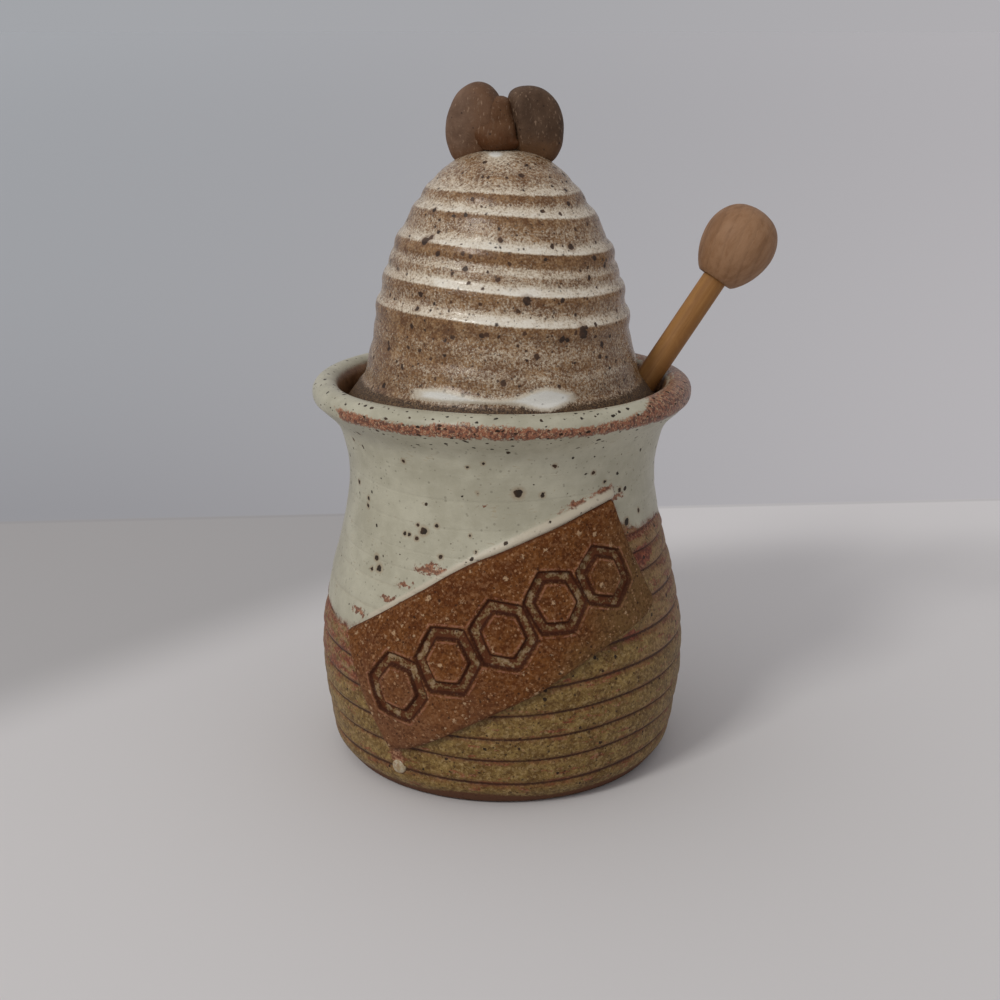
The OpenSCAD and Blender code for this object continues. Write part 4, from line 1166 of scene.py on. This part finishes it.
def build_stage():
    me = bpy.data.meshes.new("floor")
    s = 40.0
    me.from_pydata([(-s, -s, 0), (s, -s, 0), (s, s, 0), (-s, s, 0)], [], [[0, 1, 2, 3]])
    ob = bpy.data.objects.new("floor", me)
    bpy.context.scene.collection.objects.link(ob)
    g = Graph("pale_floor")
    x, y, z = g.xyz(g.p)
    away = y - x * 0.078
    far = g.step(away, 203.5, 206.0)
    seam = g.step(g.math("ABSOLUTE", away - 203.2), 2.6, 0.4)
    # the far part stands in for the wall behind; it grows paler with distance, from the seam on, as painted light
    # brighter higher up the wall
    up = 1 - g.math("DIVIDE", 598.0, g.math("MAXIMUM", y + 393.0, 598.0))
    across = g.step(x / g.math("MAXIMUM", y + 393.0, 100.0), -0.42, 0.42)
    wall = g.mix(up, g.mix(across, WALL_LEFT[0], WALL_RIGHT[0]), g.mix(across, WALL_LEFT[1], WALL_RIGHT[1]))
    # painted shade across the middle of the wall
    wall = g.darken(wall, 1 - across * (1 - across) * 0.28)
    # the near part is in painted soft shade on the far left, and painted light makes it a little paler on the right and
    # near the seam on the right
    shade = g.step((y - 98.0) - (x + 68.0) * 1.13, -34.0, 34.0) * g.step(x, 20.0, -10.0) * g.step(y, -160.0, -60.0)
    near = g.darken(FLOOR, 1 - shade * 0.31 + g.step(x, 30.0, 170.0) * 0.07 + g.step(away, 130.0, 178.0) * g.step(x, 20.0, 70.0) * 0.14)
    col = g.mix(far, near, wall)
    # a thin painted shadow line where the floor meets the painted wall
    col = g.mix(seam * 0.22, col, (0.30, 0.29, 0.31))
    me.materials.append(g.finish(col, 0.75, 0.15))
    sc = bpy.context.scene
    world = bpy.data.worlds.new("studio")
    sc.world = world
    world.use_nodes = True
    nt = world.node_tree
    bg = nt.nodes["Background"]
    tc = nt.nodes.new("ShaderNodeTexCoord")
    sep = nt.nodes.new("ShaderNodeSeparateXYZ")
    nt.links.new(tc.outputs["Generated"], sep.inputs[0])
    up = nt.nodes.new("ShaderNodeMapRange")
    nt.links.new(sep.outputs["Z"], up.inputs["Value"])
    up.inputs["From Min"].default_value, up.inputs["From Max"].default_value = 0.03, 0.75
    hor = nt.nodes.new("ShaderNodeMapRange")
    nt.links.new(sep.outputs["X"], hor.inputs["Value"])
    hor.inputs["From Min"].default_value, hor.inputs["From Max"].default_value = -0.32, 0.32
    tone = nt.nodes.new("ShaderNodeValToRGB")
    nt.links.new(hor.outputs[0], tone.inputs[0])
    stops = tone.color_ramp.elements
    stops.new(0.5)
    for k in range(3):
        stops[k].position, stops[k].color = k / 2, (*HORIZON[k], 1)
    up.inputs["To Min"].default_value, up.inputs["To Max"].default_value = WORLD_LOW, WORLD_HIGH
    side = nt.nodes.new("ShaderNodeMapRange")
    nt.links.new(sep.outputs["X"], side.inputs["Value"])
    side.inputs["From Min"].default_value, side.inputs["From Max"].default_value = -1, 1
    side.inputs["To Min"].default_value, side.inputs["To Max"].default_value = 1.22, 0.78
    mul = nt.nodes.new("ShaderNodeMath")
    mul.operation = "MULTIPLY"
    nt.links.new(up.outputs[0], mul.inputs[0])
    nt.links.new(side.outputs[0], mul.inputs[1])
    # down at the horizon the light is that of the floor's far end
    low = nt.nodes.new("ShaderNodeMapRange")
    nt.links.new(sep.outputs["Z"], low.inputs["Value"])
    low.inputs["From Min"].default_value, low.inputs["From Max"].default_value = 0.02, 0.12
    high = nt.nodes.new("ShaderNodeVectorMath")
    high.operation = "SCALE"
    high.inputs[0].default_value = (0.985, 0.965, 0.985)
    nt.links.new(mul.outputs[0], high.inputs["Scale"])
    both = nt.nodes.new("ShaderNodeMix")
    both.data_type = "RGBA"
    nt.links.new(low.outputs[0], both.inputs[0])
    nt.links.new(tone.outputs[0], both.inputs[6])
    nt.links.new(high.outputs[0], both.inputs[7])
    nt.links.new(both.outputs[2], bg.inputs["Color"])
    bg.inputs["Strength"].default_value = 1.0

    def area(name, loc, target, size, power, colour, size_y=None):
        li = bpy.data.lights.new(name, "AREA")
        li.energy, li.color, li.size = power, colour, size
        if size_y:
            li.shape, li.size_y = "RECTANGLE", size_y
        o = bpy.data.objects.new(name, li)
        sc.collection.objects.link(o)
        o.location = loc
        o.rotation_euler = (Vector(target) - Vector(loc)).to_track_quat("-Z", "Y").to_euler()
        return o

    d = Vector((-0.46, -0.585, 0.665)).normalized()
    area("key", tuple(d * 1.5), (0, 0, 0.08), 0.30, KEY_POWER, (1.0, 0.985, 0.95))
    return ob


def build_camera():
    cam = bpy.data.cameras.new("camera")
    cam.sensor_width = 36.0
    cam.lens = 56.16
    o = bpy.data.objects.new("camera", cam)
    bpy.context.scene.collection.objects.link(o)
    o.location = (-0.0005, -0.393, 0.1866)
    o.rotation_euler = (math.radians(90 - 16.97), 0, 0)
    cam.clip_start, cam.clip_end = 0.01, 50
    bpy.context.scene.camera = o


# ------------------------------------------------------------------ all
build_camera()
build_stage()
bpy.context.scene.view_settings.view_transform = "Standard"
pot_material = mat_pot()
build_pot(pot_material)
build_label(mat_label())
build_bead(mat_bead())
build_lid(mat_lid())
build_knob(
    mat_knob("bee_body_clay", (0.090, 0.038, 0.015), (0.132, 0.062, 0.027), (0.098, 0.032, 0.007), 160.5),
    mat_knob("bee_left_wing_clay", (0.118, 0.066, 0.040), (0.190, 0.113, 0.072), (0.150, 0.072, 0.034), 157.0, ((0.090, 0.040, 0.018), (0.150, 0.076, 0.038))),
    mat_knob("bee_right_wing_clay", (0.062, 0.033, 0.018), (0.108, 0.062, 0.036), (0.135, 0.064, 0.026), 159.0),
)
build_dipper(
    mat_wood("dowel_grain", (0.375, 0.188, 0.060), (0.275, 0.124, 0.034), 0.05, stain=0.35),
    mat_wood("ball_grain", (0.320, 0.178, 0.094), (0.245, 0.124, 0.058), 0.22, knot=(53.4, -3.0, 136.6), arcs=0.42),
    mat_wood("head_grain", (0.330, 0.185, 0.085), (0.230, 0.115, 0.048), 0.16, stain=0.5, arcs=0.42),
)
